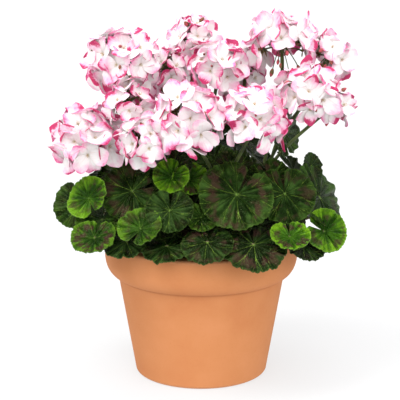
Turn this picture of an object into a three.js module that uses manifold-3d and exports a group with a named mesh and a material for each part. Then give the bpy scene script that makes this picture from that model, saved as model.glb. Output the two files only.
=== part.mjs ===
// A zonal geranium in a terracotta pot, in millimetres, with +Z up and the origin under the middle of the
// pot. The pot holds a plug of potting soil. Seven leafy shoots stand in holes in the soil. Each shoot is
// one grown piece: a main stem, its leaves on their stalks and the bare flower stalks. On the end of every
// flower stalk sits a head of five-petalled florets, joined at its hub.
import * as THREE from "three";
import { mergeVertices } from "three/addons/utils/BufferGeometryUtils.js";
import Module from "manifold-3d";

const wasm = await Module();
wasm.setup();

// ---- driving dimensions -------------------------------------------------------------------------
const GAP = 0.3; // clearance between two pieces that touch
const POT = {
  height: 150,
  wall: 7,
  floor: 8,
  footRadius: 71, // outer radius at the base, before its edge is rounded
  footRound: 4,
  rimUnder: 110, // height where the rim band starts
  neckRadius: 90, // outer radius of the body under the band
  rimRadius: 104,
  rimCurve: 22, // height over which the band swells out
  lipRound: 3,
  drainRadius: 8,
  sides: 32,
};
const SOIL = { top: 134, mound: 3, crumb: 1.2, sides: 20 };
const STEM = {
  sides: 5,
  rootRadius: 5.6,
  crownRadius: 3.4,
  rootDepth: 36,
  straight: 8, // the stem is upright for this far above and below the soil's top
  branching: 14, // the flower stalks part from the stem this far below its top
};
const LEAF = {
  rimPoints: 17,
  sinus: 14, // half angle of the notch behind the stalk's end, in degrees
  sinusDepth: 0.2, // distance of the notch's bottom from the stalk's end, as a share of the radius
  tooth: 0.07, // depth of the rounded teeth, as a share of the radius
  pleat: 0.05, // height of the pleats at the edge, as a share of the radius
  thickness: 1.1,
  stalkRadius: 1.6,
  stalkDrop: 28, // how far below the leaf its stalk leaves the main stem
  rimRoom: 6, // the lowest stalks leave the stem this far above the pot's rim
  neck: 0.9, // depth of the stalk's last ring under the blade
};
const FLOWER = {
  petals: 5,
  thickness: 0.8,
  notch: 0.4, // where two petals part, as a share of the floret's radius
  petalHalfAngle: 26,
  cup: 0.34, // how far the petals' ends stand above the throat, as a share of the radius
  pedicelRadius: 1.0,
  throatDepth: 2,
  stalkRadius: 2.2,
  hubRadius: 4.2,
  hubHeight: 9,
  spread: 112, // how far from the head's own axis its florets reach, in degrees
  share: 0.64, // a floret's radius, as a share of its head's
  largest: 24,
  elbowRoom: 8, // heads with less than this between them press against each other
  throatRoom: 3, // least distance from a throat to a neighbouring head
};

// ---- the plant's plan ---------------------------------------------------------------------------
// A shoot stands with its foot in the soil and leans to its crown, the top of its main stem. Every leaf
// and head lies at a point and faces a direction, given as azimuth (0 is +X, 90 is +Y) and elevation above
// the horizon, in degrees. A leaf's tip points downhill, or is turned away from there by so many degrees.
// Its cup is the height of its edge over its middle, as a share of its radius.
const SHOOTS = [
  {
    name: "left",
    foot: [-40, -8],
    crown: [-70, -18, 206],
    leaves: [
      { at: [-132, 4, 186], radius: 30, faces: [240, 25], turn: 20, cup: 0.12 },
      { at: [-112, 34, 212], radius: 27, faces: [172, 36], turn: 0, cup: 0.14 },
      { at: [-117, -52, 204], radius: 24, faces: [238, 28], turn: -140, cup: 0.2 },
      { at: [-104, -52, 181], radius: 28, faces: [240, 62], turn: 10, cup: 0.1 },
      { at: [-110, -80, 169], radius: 24, faces: [250, 56], turn: 0, cup: 0.22 },
      { at: [-92, -2, 219], radius: 25, faces: [215, 50], turn: 0, cup: 0.1 },
    ],
    heads: [
      { name: "left_front", at: [-119, -24, 259], radius: 40, florets: 8, faces: [215, 60] },
      { name: "left_top", at: [-82, -12, 339], radius: 41, florets: 8, faces: [250, 66] },
      { name: "left_mid", at: [-74, -45, 301], radius: 26, florets: 4, faces: [240, 60] },
    ],
  },
  {
    name: "front_left",
    foot: [-26, -34],
    crown: [-44, -46, 200],
    leaves: [
      { at: [-72, -44, 210], radius: 35, faces: [255, 38], turn: -70, cup: 0.15 },
      { at: [-62, -92, 182], radius: 24, faces: [245, 45], turn: 170, cup: 0.22 },
      { at: [-77, -80, 165], radius: 25, faces: [245, 66], turn: -70, cup: -0.04 },
      { at: [-35, -94, 164], radius: 27, faces: [262, 76], turn: -50, cup: -0.06 },
      { at: [-32, -87, 200], radius: 25, faces: [262, 34], turn: 0, cup: 0.12 },
      { at: [-30, -64, 230], radius: 20, faces: [255, 38], turn: -30, cup: 0.22 },
      { at: [-12, -58, 226], radius: 20, faces: [290, 42], turn: 20, cup: 0.2 },
      { at: [-42, -68, 184], radius: 25, faces: [260, 52], turn: 0, cup: 0.12 },
    ],
    heads: [{ name: "mid_left_front", at: [-58, -66, 267], radius: 29, florets: 6, faces: [240, 60] }],
  },
  {
    name: "front_right",
    foot: [16, -40],
    crown: [24, -48, 206],
    leaves: [
      { at: [36, -84, 216], radius: 39, faces: [265, 34], turn: -30, cup: 0.02 },
      { at: [53, -106, 169], radius: 34, faces: [278, 60], turn: 0, cup: -0.06 },
      { at: [6, -108, 172], radius: 27, faces: [258, 60], turn: 0, cup: -0.06 },
      { at: [0, -84, 192], radius: 18, faces: [275, 45], turn: 0, cup: 0.2 },
      { at: [26, -74, 184], radius: 27, faces: [270, 55], turn: 0, cup: 0.12 },
      { at: [12, -34, 238], radius: 25, faces: [268, 40], turn: 0, cup: 0.14 },
    ],
    heads: [
      { name: "centre_front", at: [-11, -76, 290], radius: 39, florets: 8, faces: [262, 55] },
      { name: "right_front", at: [55, -76, 293], radius: 35, florets: 7, faces: [285, 55] },
    ],
  },
  {
    name: "right",
    foot: [42, -10],
    crown: [70, -24, 212],
    leaves: [
      { at: [86, -68, 213], radius: 33, faces: [285, 32], turn: 0, cup: 0.04 },
      { at: [126, -18, 197], radius: 39, faces: [330, 32], turn: 80, cup: 0.06 },
      { at: [118, 6, 226], radius: 15, faces: [322, 16], turn: 180, cup: 0.2 },
      { at: [118, 12, 168], radius: 26, faces: [5, 55], turn: 0, cup: 0.12 },
      { at: [90, -98, 175], radius: 21, faces: [280, 60], turn: 0, cup: 0.25 },
      { at: [84, -60, 184], radius: 25, faces: [290, 52], turn: 0, cup: 0.12 },
      { at: [129, -50, 168], radius: 25, faces: [292, 36], turn: 60, cup: 0.2 },
      { at: [107, -64, 156], radius: 23, faces: [305, 62], turn: 0, cup: 0.1 },
      { at: [70, -42, 222], radius: 24, faces: [275, 30], turn: 20, cup: 0.14 },
      { at: [87, -4, 266], radius: 33, faces: [335, 12], turn: 180, cup: 0.1 },
    ],
    heads: [
      { name: "right_mid", at: [108, -36, 311], radius: 33, florets: 6, faces: [300, 60] },
      { name: "right_low", at: [138, -2, 292], radius: 25, florets: 5, faces: [340, 45] },
      { name: "right_top", at: [85, 10, 351], radius: 41, florets: 8, faces: [250, 72] },
    ],
  },
  {
    name: "back_right",
    foot: [30, 30],
    crown: [56, 46, 206],
    leaves: [
      { at: [104, 64, 168], radius: 31, faces: [30, 52], turn: 0, cup: 0.12 },
      { at: [66, 102, 166], radius: 31, faces: [58, 55], turn: 0, cup: 0.12 },
      { at: [102, 44, 213], radius: 29, faces: [22, 40], turn: 0, cup: 0.14 },
      { at: [58, 88, 212], radius: 30, faces: [62, 40], turn: 0, cup: 0.14 },
      { at: [42, 56, 240], radius: 24, faces: [80, 60], turn: 0, cup: 0.16 },
    ],
    heads: [
      { name: "right_back", at: [136, 24, 339], radius: 29, florets: 5, faces: [10, 55] },
      { name: "back_right", at: [120, 62, 298], radius: 28, florets: 7, faces: [45, 55] },
      { name: "centre_back", at: [47, 33, 320], radius: 23, florets: 4, faces: [80, 70] },
    ],
  },
  {
    name: "back_left",
    foot: [-26, 34],
    crown: [-48, 52, 206],
    leaves: [
      { at: [6, 112, 172], radius: 31, faces: [90, 55], turn: 0, cup: 0.12 },
      { at: [-51, 102, 166], radius: 31, faces: [117, 54], turn: 0, cup: 0.12 },
      { at: [-92, 76, 168], radius: 33, faces: [142, 52], turn: 0, cup: 0.12 },
      { at: [-118, 34, 170], radius: 29, faces: [168, 48], turn: 0, cup: 0.12 },
      { at: [-8, 90, 214], radius: 30, faces: [98, 40], turn: 0, cup: 0.14 },
      { at: [-68, 66, 214], radius: 30, faces: [132, 40], turn: 0, cup: 0.14 },
    ],
    heads: [
      { name: "back_left", at: [-72, 66, 298], radius: 30, florets: 7, faces: [145, 55] },
      { name: "back_mid", at: [-24, 92, 300], radius: 33, florets: 7, faces: [110, 55] },
    ],
  },
  {
    name: "middle",
    foot: [0, 2],
    crown: [0, 8, 236],
    leaves: [
      { at: [10, 56, 257], radius: 23, faces: [95, 45], turn: 0, cup: 0.14 },
      { at: [-30, 22, 254], radius: 24, faces: [160, 50], turn: 0, cup: 0.14 },
    ],
    heads: [
      { name: "centre_top", at: [18, 2, 333], radius: 33, florets: 7, faces: [280, 75] },
      { name: "top_back", at: [-10, 48, 356], radius: 27, florets: 5, faces: [268, 60] },
      { name: "mid_back", at: [-37, 16, 326], radius: 28, florets: 5, faces: [200, 75] },
      { name: "back_top", at: [40, 94, 306], radius: 32, florets: 6, faces: [75, 55] },
    ],
  },
];

// ---- small tools --------------------------------------------------------------------------------
const FULL_TURN = 2 * Math.PI;
const rad = THREE.MathUtils.degToRad;
const vec = (x, y, z) => new THREE.Vector3(x, y, z);

// A repeatable draw from 0 to 1 for the n-th choice.
function draw(n) {
  const s = Math.sin(n * 12.9898 + 78.233) * 43758.5453;
  return s - Math.floor(s);
}

// The unit vector that points to an azimuth and an elevation.
function heading(azimuth, elevation) {
  const flat = Math.cos(rad(elevation));
  return vec(flat * Math.cos(rad(azimuth)), flat * Math.sin(rad(azimuth)), Math.sin(rad(elevation)));
}

// Corners and triangles of one closed skin, gathered piece by piece.
class Skin {
  constructor() {
    this.points = [];
    this.faces = [];
  }
  add(points) {
    const first = this.points.length;
    this.points.push(...points);
    return points.map((_, i) => first + i);
  }
  face(a, b, c) {
    this.faces.push(a, b, c);
  }
  // A band of triangles between two rings of the same count, both seen anticlockwise from the second
  // ring's side.
  band(lower, upper) {
    lower.forEach((a, i) => {
      const j = (i + 1) % lower.length;
      this.face(a, lower[j], upper[j]);
      this.face(a, upper[j], upper[i]);
    });
  }
  lid(ring, up) {
    for (let i = 1; i + 1 < ring.length; i++) {
      if (up) this.face(ring[0], ring[i], ring[i + 1]);
      else this.face(ring[0], ring[i + 1], ring[i]);
    }
  }
  solid() {
    const vertProperties = new Float32Array(this.points.flatMap((p) => [p.x, p.y, p.z]));
    return new wasm.Manifold(
      new wasm.Mesh({ numProp: 3, vertProperties, triVerts: new Uint32Array(this.faces) }),
    );
  }
}

// The rings of a tube along a curve: a regular section that is carried along without twisting.
function tubeRings(skin, curve, steps, sides, radiusAt) {
  const rings = [];
  let side = null;
  for (let k = 0; k <= steps; k++) {
    const t = k / steps;
    const centre = curve.getPoint(t);
    const ahead = curve.getTangent(t);
    if (!side) side = Math.abs(ahead.z) < 0.9 ? vec(0, 0, 1) : vec(1, 0, 0);
    side.addScaledVector(ahead, -side.dot(ahead)).normalize();
    const other = ahead.clone().cross(side);
    const ring = [];
    for (let i = 0; i < sides; i++) {
      const turn = (2 * Math.PI * i) / sides;
      const out = side.clone().multiplyScalar(Math.cos(turn)).addScaledVector(other, Math.sin(turn));
      ring.push(centre.clone().addScaledVector(out, radiusAt(t)));
    }
    rings.push(skin.add(ring));
  }
  for (let k = 0; k < steps; k++) skin.band(rings[k], rings[k + 1]);
  return rings;
}

function tube(curve, steps, sides, radiusAt) {
  const skin = new Skin();
  const rings = tubeRings(skin, curve, steps, sides, radiusAt);
  skin.lid(rings[0], false);
  skin.lid(rings[steps], true);
  return skin.solid();
}

// A solid from a three.js geometry whose shared corners are merged.
function solidOf(geometry) {
  const bare = new THREE.BufferGeometry().setAttribute("position", geometry.getAttribute("position"));
  if (geometry.index) bare.setIndex(geometry.index);
  const merged = mergeVertices(bare, 1e-3);
  return new wasm.Manifold(
    new wasm.Mesh({
      numProp: 3,
      vertProperties: new Float32Array(merged.getAttribute("position").array),
      triVerts: new Uint32Array(merged.index.array),
    }),
  );
}

// The largest body of a solid: scraps that a cut leaves loose are dropped.
function wholeBody(solid) {
  return solid.decompose().reduce((best, one) => (one.volume() > best.volume() ? one : best));
}

function meshOf(name, solid, material) {
  const made = solid.getMesh();
  const position = new THREE.BufferAttribute(new Float32Array(made.vertProperties), 3);
  const geometry = new THREE.BufferGeometry().setAttribute("position", position);
  geometry.setIndex(new THREE.BufferAttribute(new Uint32Array(made.triVerts), 1));
  geometry.computeVertexNormals();
  const mesh = new THREE.Mesh(geometry, material);
  mesh.name = name;
  return mesh;
}

// A turned solid from [radius, height] pairs, stood up along +Z.
function turned(profile, sides) {
  const points = profile.map(([r, z]) => new THREE.Vector2(r, z));
  return solidOf(new THREE.LatheGeometry(points, sides).rotateX(Math.PI / 2));
}

// ---- pot ----------------------------------------------------------------------------------------
// Outer radius of the pot's body at a height under the rim band.
function bodyRadius(z) {
  return POT.footRadius + ((POT.neckRadius - POT.footRadius) * z) / POT.rimUnder;
}

// Radius of the bore of the pot: a wall's thickness inside the body, and straight up behind the rim band.
function boreRadius(z) {
  return bodyRadius(Math.min(z, POT.rimUnder)) - POT.wall + 0.12 * Math.max(0, z - POT.rimUnder);
}

function pot() {
  const { height, floor, footRound, rimUnder, neckRadius, rimRadius, rimCurve, lipRound, drainRadius } = POT;
  const profile = [[drainRadius, 0]];
  for (const turn of [0, 45, 90]) {
    const foot = bodyRadius(footRound) - footRound;
    profile.push([foot + footRound * Math.sin(rad(turn)), footRound * (1 - Math.cos(rad(turn)))]);
  }
  for (const turn of [0, 30, 60, 90]) {
    const swell = (rimRadius - neckRadius) * Math.sin(rad(turn));
    profile.push([neckRadius + swell, rimUnder + rimCurve * (1 - Math.cos(rad(turn)))]);
  }
  profile.push([rimRadius + 0.5, height - lipRound]);
  profile.push([rimRadius - lipRound + 1, height]);
  profile.push([boreRadius(height) + lipRound - 1, height]);
  profile.push([boreRadius(height), height - lipRound]);
  profile.push([boreRadius(rimUnder), rimUnder]);
  profile.push([boreRadius(floor + footRound), floor + footRound]);
  profile.push([boreRadius(floor) - footRound, floor]);
  profile.push([drainRadius, floor]);
  profile.push(profile[0]);
  return turned(profile, POT.sides);
}

// ---- soil ---------------------------------------------------------------------------------------
// Height of the crumbly top of the soil, which is mounded a little in the middle.
function soilHeight(x, y, wallShare) {
  const crumbs = Math.sin(x * 0.23 + 1.7) * Math.cos(y * 0.19 - 0.6) + 0.6 * Math.sin(x * 0.11 - y * 0.31);
  return SOIL.top + SOIL.mound * (1 - wallShare * wallShare) + SOIL.crumb * crumbs * (1 - wallShare);
}

function soil() {
  const skin = new Skin();
  const ring = (radius, heightAt) => {
    const points = [];
    for (let i = 0; i < SOIL.sides; i++) {
      const turn = (2 * Math.PI * i) / SOIL.sides;
      const x = radius * Math.cos(turn);
      const y = radius * Math.sin(turn);
      points.push(vec(x, y, heightAt(x, y)));
    }
    return skin.add(points);
  };
  // The plug has fewer sides than the pot, so its corners stay a gap inside the pot's flats.
  const flats = Math.cos(Math.PI / POT.sides);
  const seat = (z) => boreRadius(z) * flats - GAP;
  const bottom = POT.floor + GAP;
  const rings = [
    ring(seat(bottom) - POT.footRound - 1, () => bottom),
    ring(seat(bottom + POT.footRound) - 0.5, () => bottom + POT.footRound),
    ring(seat(POT.rimUnder), () => POT.rimUnder),
    ring(seat(SOIL.top), () => SOIL.top),
  ];
  for (const share of [0.66, 0.33]) {
    rings.push(ring(seat(SOIL.top) * share, (x, y) => soilHeight(x, y, share)));
  }
  for (let k = 0; k + 1 < rings.length; k++) skin.band(rings[k], rings[k + 1]);
  skin.lid(rings[0], false);
  const [middle] = skin.add([vec(0, 0, soilHeight(0, 0, 0))]);
  const last = rings[rings.length - 1];
  last.forEach((a, i) => skin.face(a, last[(i + 1) % last.length], middle));
  return skin.solid();
}

// What is bored out of the soil for the foot of a shoot.
function footHole({ foot: [x, y] }) {
  const bottom = vec(x, y, SOIL.top - STEM.rootDepth);
  const top = vec(x, y, SOIL.top + STEM.straight);
  return tube(new THREE.LineCurve3(bottom, top), 1, STEM.sides, () => STEM.rootRadius + 2 * GAP);
}

// ---- shoots -------------------------------------------------------------------------------------
function stemCurve(shoot) {
  const [x, y] = shoot.foot;
  const [cx, cy, cz] = shoot.crown;
  const bottom = SOIL.top - STEM.rootDepth + GAP;
  return new THREE.CatmullRomCurve3([
    vec(x, y, bottom),
    vec(x, y, SOIL.top - STEM.straight),
    vec(x, y, SOIL.top + STEM.straight),
    vec(x + (cx - x) * 0.42, y + (cy - y) * 0.42, SOIL.top + (cz - SOIL.top) * 0.55),
    vec(cx, cy, cz),
  ]);
}

// The point of a shoot's stem at a height, or just under its top.
function stemPoint(shoot, z) {
  const curve = stemCurve(shoot);
  const height = Math.min(z, shoot.crown[2] - 2);
  let t = 0;
  while (curve.getPoint(t).z < height) t += 0.01;
  return curve.getPoint(Math.min(t, 1));
}

function stem(shoot) {
  const radiusAt = (t) => THREE.MathUtils.lerp(STEM.rootRadius, STEM.crownRadius, t);
  return tube(stemCurve(shoot), 6, STEM.sides, radiusAt);
}

// A thin blade that closes the open end of a stalk: a fan from its middle to its edge on the upper face,
// the edge's wall, and an underside shared out evenly between the corners of the stalk's last ring.
function closeWithBlade(skin, neck, edge, middle, drop) {
  const top = skin.add(edge);
  const under = skin.add(edge.map((p) => p.clone().add(drop)));
  const [peak] = skin.add([middle]);
  const count = edge.length;
  const away = (i) => skin.points[under[i]].distanceTo(skin.points[neck[0]]);
  const first = under.reduce((best, _, i) => (away(i) < away(best) ? i : best), 0);
  const half = Math.floor(count / neck.length / 2);
  const cornerOf = (i) => neck[Math.floor((((i - first + half + count) % count) * neck.length) / count)];
  for (let i = 0; i < count; i++) {
    const j = (i + 1) % count;
    const before = cornerOf((i + count - 1) % count);
    const corner = cornerOf(i);
    if (before !== corner) skin.face(before, corner, under[i]);
    skin.face(peak, top[i], top[j]);
    skin.face(corner, under[j], under[i]);
    skin.face(top[i], under[i], under[j]);
    skin.face(top[i], under[j], top[j]);
  }
}

// One leaf and its stalk in one skin. The blade is a pleated funnel, round to kidney-shaped, with toothed
// edges and a notch behind the point where the stalk joins its underside.
function leaf(shoot, { at: [x, y, z], radius, faces: [azimuth, elevation], turn, cup }) {
  const up = heading(azimuth, elevation);
  const tip = heading(azimuth, elevation - 90).applyAxisAngle(up, rad(turn));
  const side = up.clone().cross(tip);
  const centre = vec(x, y, z);
  const at = (u, v, w) =>
    centre.clone().addScaledVector(tip, u).addScaledVector(side, v).addScaledVector(up, w);

  const start = stemPoint(shoot, Math.max(z - LEAF.stalkDrop, POT.height + LEAF.rimRoom));
  const reach = centre.distanceTo(start);
  const stalk = new THREE.CubicBezierCurve3(
    start,
    start.clone().add(vec((x - start.x) * 0.25, (y - start.y) * 0.25, reach * 0.3)),
    centre.clone().lerp(start, 0.3).addScaledVector(up, -reach * 0.15),
    at(0, 0, -LEAF.thickness - LEAF.neck),
  );
  const skin = new Skin();
  const [root, , , neck] = tubeRings(skin, stalk, 3, 3, () => LEAF.stalkRadius);
  skin.lid(root, false);

  const open = 180 - LEAF.sinus;
  const edge = [at(-radius * LEAF.sinusDepth, 0, 0)];
  for (let i = 0; i < LEAF.rimPoints; i++) {
    const angle = rad(-open + (2 * open * i) / (LEAF.rimPoints - 1));
    const crest = i % 2 ? 1 : -1;
    const kidney = 0.95 + 0.07 * Math.sin(angle) ** 2 + 0.03 * Math.cos(angle);
    const out = radius * kidney * (1 - (LEAF.tooth / 2) * (1 - crest));
    const lift = radius * (cup + crest * LEAF.pleat - 0.1 * Math.max(0, Math.cos(angle)));
    edge.push(at(out * Math.cos(angle), out * Math.sin(angle), lift));
  }
  closeWithBlade(skin, neck, edge, centre, up.clone().multiplyScalar(-LEAF.thickness));
  return skin.solid();
}

// The bare stalk of a flower head, from the top of its shoot's stem to just under the head's hub.
function flowerStalk(shoot, head) {
  const { hub, axis } = headFrame(head);
  const start = stemPoint(shoot, shoot.crown[2] - STEM.branching);
  const end = hub.clone().addScaledVector(axis, -GAP);
  const reach = end.distanceTo(start);
  const curve = new THREE.CubicBezierCurve3(
    start,
    start.clone().add(vec(0, 0, reach * 0.35)),
    end.clone().addScaledVector(axis, -reach * 0.35),
    end,
  );
  return tube(curve, 4, 3, () => FLOWER.stalkRadius);
}

function shootSolid(shoot) {
  const parts = [stem(shoot)];
  shoot.leaves.forEach((one) => parts.push(leaf(shoot, one)));
  shoot.heads.forEach((one) => parts.push(flowerStalk(shoot, one)));
  return wasm.Manifold.union(parts);
}

// ---- flower heads -------------------------------------------------------------------------------
// The middle of a head, the way it points, and the foot of its hub, which the flower stalk meets from
// below.
function headFrame({ at, faces }) {
  const axis = heading(...faces);
  const centre = vec(...at);
  return { centre, axis, hub: centre.clone().addScaledVector(axis, -FLOWER.hubHeight / 2) };
}

// The knob that a head's pedicels grow from: a cone that widens from the stalk, under a low peak.
function hubSolid(head) {
  const { hub, axis } = headFrame(head);
  const skin = new Skin();
  const widest = hub.clone().addScaledVector(axis, FLOWER.hubHeight * 0.6);
  const radii = [FLOWER.stalkRadius, FLOWER.hubRadius];
  const [foot, shoulder] = tubeRings(skin, new THREE.LineCurve3(hub, widest), 1, 5, (t) => radii[t]);
  skin.lid(foot, false);
  const [peak] = skin.add([hub.clone().addScaledVector(axis, FLOWER.hubHeight)]);
  shoulder.forEach((corner, i) => skin.face(corner, shoulder[(i + 1) % shoulder.length], peak));
  return skin.solid();
}

// One floret on its pedicel, in one skin: five petals that part at notches, round a throat that faces away
// from the hub. Points that would reach past a border plane are pressed back onto it, as petals are
// against a neighbour.
function floret(heart, facing, reach, radius, seed, walls) {
  const throat = heart.clone().addScaledVector(facing, reach);
  const turn = FULL_TURN * draw(seed);
  const side = facing.clone().cross(Math.abs(facing.z) < 0.9 ? vec(0, 0, 1) : vec(1, 0, 0)).normalize();
  const other = facing.clone().cross(side);
  const at = (r, angle, h) =>
    throat
      .clone()
      .addScaledVector(side, r * Math.cos(angle))
      .addScaledVector(other, r * Math.sin(angle))
      .addScaledVector(facing, h);
  const skin = new Skin();
  const base = at(0, 0, -FLOWER.throatDepth);
  const [root, neck] = tubeRings(skin, new THREE.LineCurve3(heart, base), 1, 3, () => FLOWER.pedicelRadius);
  skin.lid(root, false);
  const edge = [];
  for (let i = 0; i < FLOWER.petals; i++) {
    const middle = turn + (2 * Math.PI * i) / FLOWER.petals;
    const length = radius * (0.94 + 0.12 * draw(seed + i));
    const half = rad(FLOWER.petalHalfAngle);
    const lift = length * FLOWER.cup;
    const ruffle = length * 0.2 * (draw(seed + i + 7) - 0.5);
    edge.push(at(radius * FLOWER.notch, middle - Math.PI / FLOWER.petals, radius * FLOWER.notch * 0.4));
    edge.push(at(length, middle - half, lift + ruffle));
    edge.push(at(length, middle + half, lift - ruffle));
  }
  edge.forEach((p) => pressBack(p, walls));
  closeWithBlade(skin, neck, edge, throat, facing.clone().multiplyScalar(-FLOWER.thickness));
  return skin.solid();
}

// Directions of a head's florets: even steps of the golden angle from the head's axis down to its spread.
function floretDirections({ florets, faces: [azimuth, elevation] }, seed) {
  const axis = heading(azimuth, elevation);
  const side = heading(azimuth, elevation - 90);
  const other = axis.clone().cross(side);
  const golden = Math.PI * (3 - Math.sqrt(5));
  const floor = Math.cos(rad(FLOWER.spread));
  const found = [];
  for (let i = 0; i < florets; i++) {
    const along = 1 - ((i + 0.5) / florets) * (1 - floor);
    const out = Math.sqrt(1 - along * along);
    const turn = golden * i + FULL_TURN * draw(seed);
    found.push(
      axis
        .clone()
        .multiplyScalar(along)
        .addScaledVector(side, out * Math.cos(turn))
        .addScaledVector(other, out * Math.sin(turn)),
    );
  }
  return found;
}

const HEADS = SHOOTS.flatMap((shoot) => shoot.heads);

// The planes between a head and the heads that press against it, each as {normal, offset} towards this
// head.
function borders(head) {
  const centre = vec(...head.at);
  const planes = [];
  for (const other of HEADS) {
    const away = centre.clone().sub(vec(...other.at));
    const apart = away.length();
    if (other === head || apart > head.radius + other.radius + FLOWER.elbowRoom) continue;
    const share = 0.5 + (head.radius ** 2 - other.radius ** 2) / (2 * apart * apart);
    const normal = away.divideScalar(apart);
    planes.push({ normal, offset: normal.dot(centre) - apart * share + GAP / 2 });
  }
  return planes;
}

// Moves a point that reaches past a border plane back to it.
function pressBack(point, walls) {
  for (const { normal, offset } of walls) {
    const past = offset + FLOWER.thickness + GAP - normal.dot(point);
    if (past > 0) point.addScaledVector(normal, past);
  }
}

// A head's florets spread from its middle, where they share the hub, to its radius.
function headSolid(head, index) {
  const { centre } = headFrame(head);
  const walls = borders(head);
  const size = Math.min(FLOWER.largest, head.radius * FLOWER.share);
  const reach = head.radius - size * FLOWER.cup - FLOWER.throatDepth;
  const parts = [hubSolid(head)];
  const facings = floretDirections(head, index);
  facings.forEach((facing, i) => {
    const throat = centre.clone().addScaledVector(facing, reach);
    // A floret that would open inside a neighbouring head isn't there.
    if (walls.some((wall) => wall.normal.dot(throat) < wall.offset + FLOWER.throatRoom)) return;
    // The florets of one head press against each other halfway between them.
    const fences = facings
      .filter((one) => one !== facing)
      .map((one) => facing.clone().sub(one).normalize())
      .map((normal) => ({ normal, offset: normal.dot(centre) }));
    const seed = index * 97 + i * 5;
    parts.push(floret(centre, facing, reach, size, seed, [...fences, ...walls]));
  });
  return wholeBody(wasm.Manifold.union(parts));
}

// ---- the whole object ---------------------------------------------------------------------------
const finish = (color, roughness) => new THREE.MeshStandardMaterial({ color, roughness, metalness: 0 });
const terracotta = finish("#d9905e", 0.85);
const earth = finish("#3a2a1e", 0.95);
const foliage = finish("#2f5a2a", 0.55);
const blossom = finish("#f3c6d8", 0.6);

const plant = new THREE.Group();
plant.add(meshOf("pot", pot(), terracotta));
plant.add(meshOf("soil", soil().subtract(wasm.Manifold.union(SHOOTS.map(footHole))), earth));
for (const shoot of SHOOTS) plant.add(meshOf("shoot_" + shoot.name, shootSolid(shoot), foliage));
HEADS.forEach((head, index) => plant.add(meshOf("head_" + head.name, headSolid(head, index), blossom)));

export default plant;
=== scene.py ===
import math

import bpy
import numpy as np
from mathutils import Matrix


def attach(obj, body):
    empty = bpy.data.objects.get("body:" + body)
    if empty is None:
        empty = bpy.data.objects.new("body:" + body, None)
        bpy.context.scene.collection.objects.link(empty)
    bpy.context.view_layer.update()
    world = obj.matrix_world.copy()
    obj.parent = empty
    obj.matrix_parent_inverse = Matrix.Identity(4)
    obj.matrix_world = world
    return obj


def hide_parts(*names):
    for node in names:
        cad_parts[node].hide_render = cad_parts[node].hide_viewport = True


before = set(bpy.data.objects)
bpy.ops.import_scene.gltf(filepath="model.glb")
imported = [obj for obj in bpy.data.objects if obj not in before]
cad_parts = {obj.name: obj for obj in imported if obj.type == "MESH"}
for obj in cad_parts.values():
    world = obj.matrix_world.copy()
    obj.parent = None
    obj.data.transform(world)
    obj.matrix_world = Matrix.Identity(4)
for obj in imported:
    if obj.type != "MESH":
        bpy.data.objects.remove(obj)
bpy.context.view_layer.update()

# ---- camera ---------------------------------------------------------------------------------------
# The camera stands 1.6 m in front of the plant at 0.58 m above the floor, with a long lens that looks
# a little down on it.
MM = 0.001
FULL_TURN = 2 * math.pi

bpy.ops.object.select_all(action="DESELECT")
bpy.ops.object.camera_add(
    location=(-1.25 * MM, -1600 * MM, 581 * MM), rotation=(math.radians(76.25), 0, 0)
)
camera = bpy.context.object
camera.name = "camera"
camera.data.sensor_width = 36
camera.data.lens = 137.9
camera.data.clip_end = 60
bpy.context.scene.camera = camera

# ---- floor and lights -----------------------------------------------------------------------------
# A pale seamless floor that runs out of the picture, under a broad lamp from the front left, a fill lamp
# from the front right, a soft one as wide as half the sky, one from above and behind and an even glow. A
# small high lamp gives the leaves their glints; the broad ones at the front would only veil them.
FLOOR_COLOUR = (0.20, 0.202, 0.206, 1)
LAMPS = [  # name, azimuth it comes from, elevation, strength, apparent size in degrees, seen in gloss
    ("key_lamp", 236, 50, 1.9, 66, False),
    ("fill_lamp", 304, 30, 1.4, 60, False),
    ("top_lamp", 80, 68, 1.3, 50, True),
    ("soft_lamp", 262, 38, 1.0, 170, False),
    ("glint_lamp", 212, 62, 1.3, 20, True),
]
GLOW_LOW, GLOW_HIGH = 0.26, 0.52
FLOOR_GLOW = 0.67

for name, azimuth, elevation, strength, size, glossy in LAMPS:
    tilt, swing = math.radians(90 - elevation), math.radians(azimuth + 90)
    bpy.ops.object.light_add(type="SUN", location=(0, 0, 2), rotation=(tilt, 0, swing))
    lamp = bpy.context.object
    lamp.name = name
    lamp.data.energy = strength
    lamp.data.angle = math.radians(size)
    lamp.visible_glossy = glossy

world = bpy.data.worlds.new("studio")
world.use_nodes = True
sky = world.node_tree.nodes
split = sky.new("ShaderNodeSeparateXYZ")
rise = sky.new("ShaderNodeMapRange")
for socket, value in zip(("From Min", "From Max", "To Min", "To Max"), (0, 0.8, GLOW_LOW, GLOW_HIGH)):
    rise.inputs[socket].default_value = value
world.node_tree.links.new(sky.new("ShaderNodeTexCoord").outputs["Generated"], split.inputs[0])
world.node_tree.links.new(split.outputs["Z"], rise.inputs["Value"])
world.node_tree.links.new(rise.outputs[0], sky["Background"].inputs["Strength"])
sky["Background"].inputs["Color"].default_value = (1, 1, 1, 1)
bpy.context.scene.world = world
bpy.context.scene.view_settings.view_transform = "Standard"


def finish(name, roughness, **sockets):
    """A new material, its node tree and the inputs of its shader, with the values that are the same
    all over set on the shader itself."""
    material = bpy.data.materials.new(name)
    material.use_nodes = True
    inputs = material.node_tree.nodes["Principled BSDF"].inputs
    inputs["Roughness"].default_value = roughness
    for socket, value in sockets.items():
        inputs[socket.replace("_", " ")].default_value = value
    return material, material.node_tree, inputs


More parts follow.
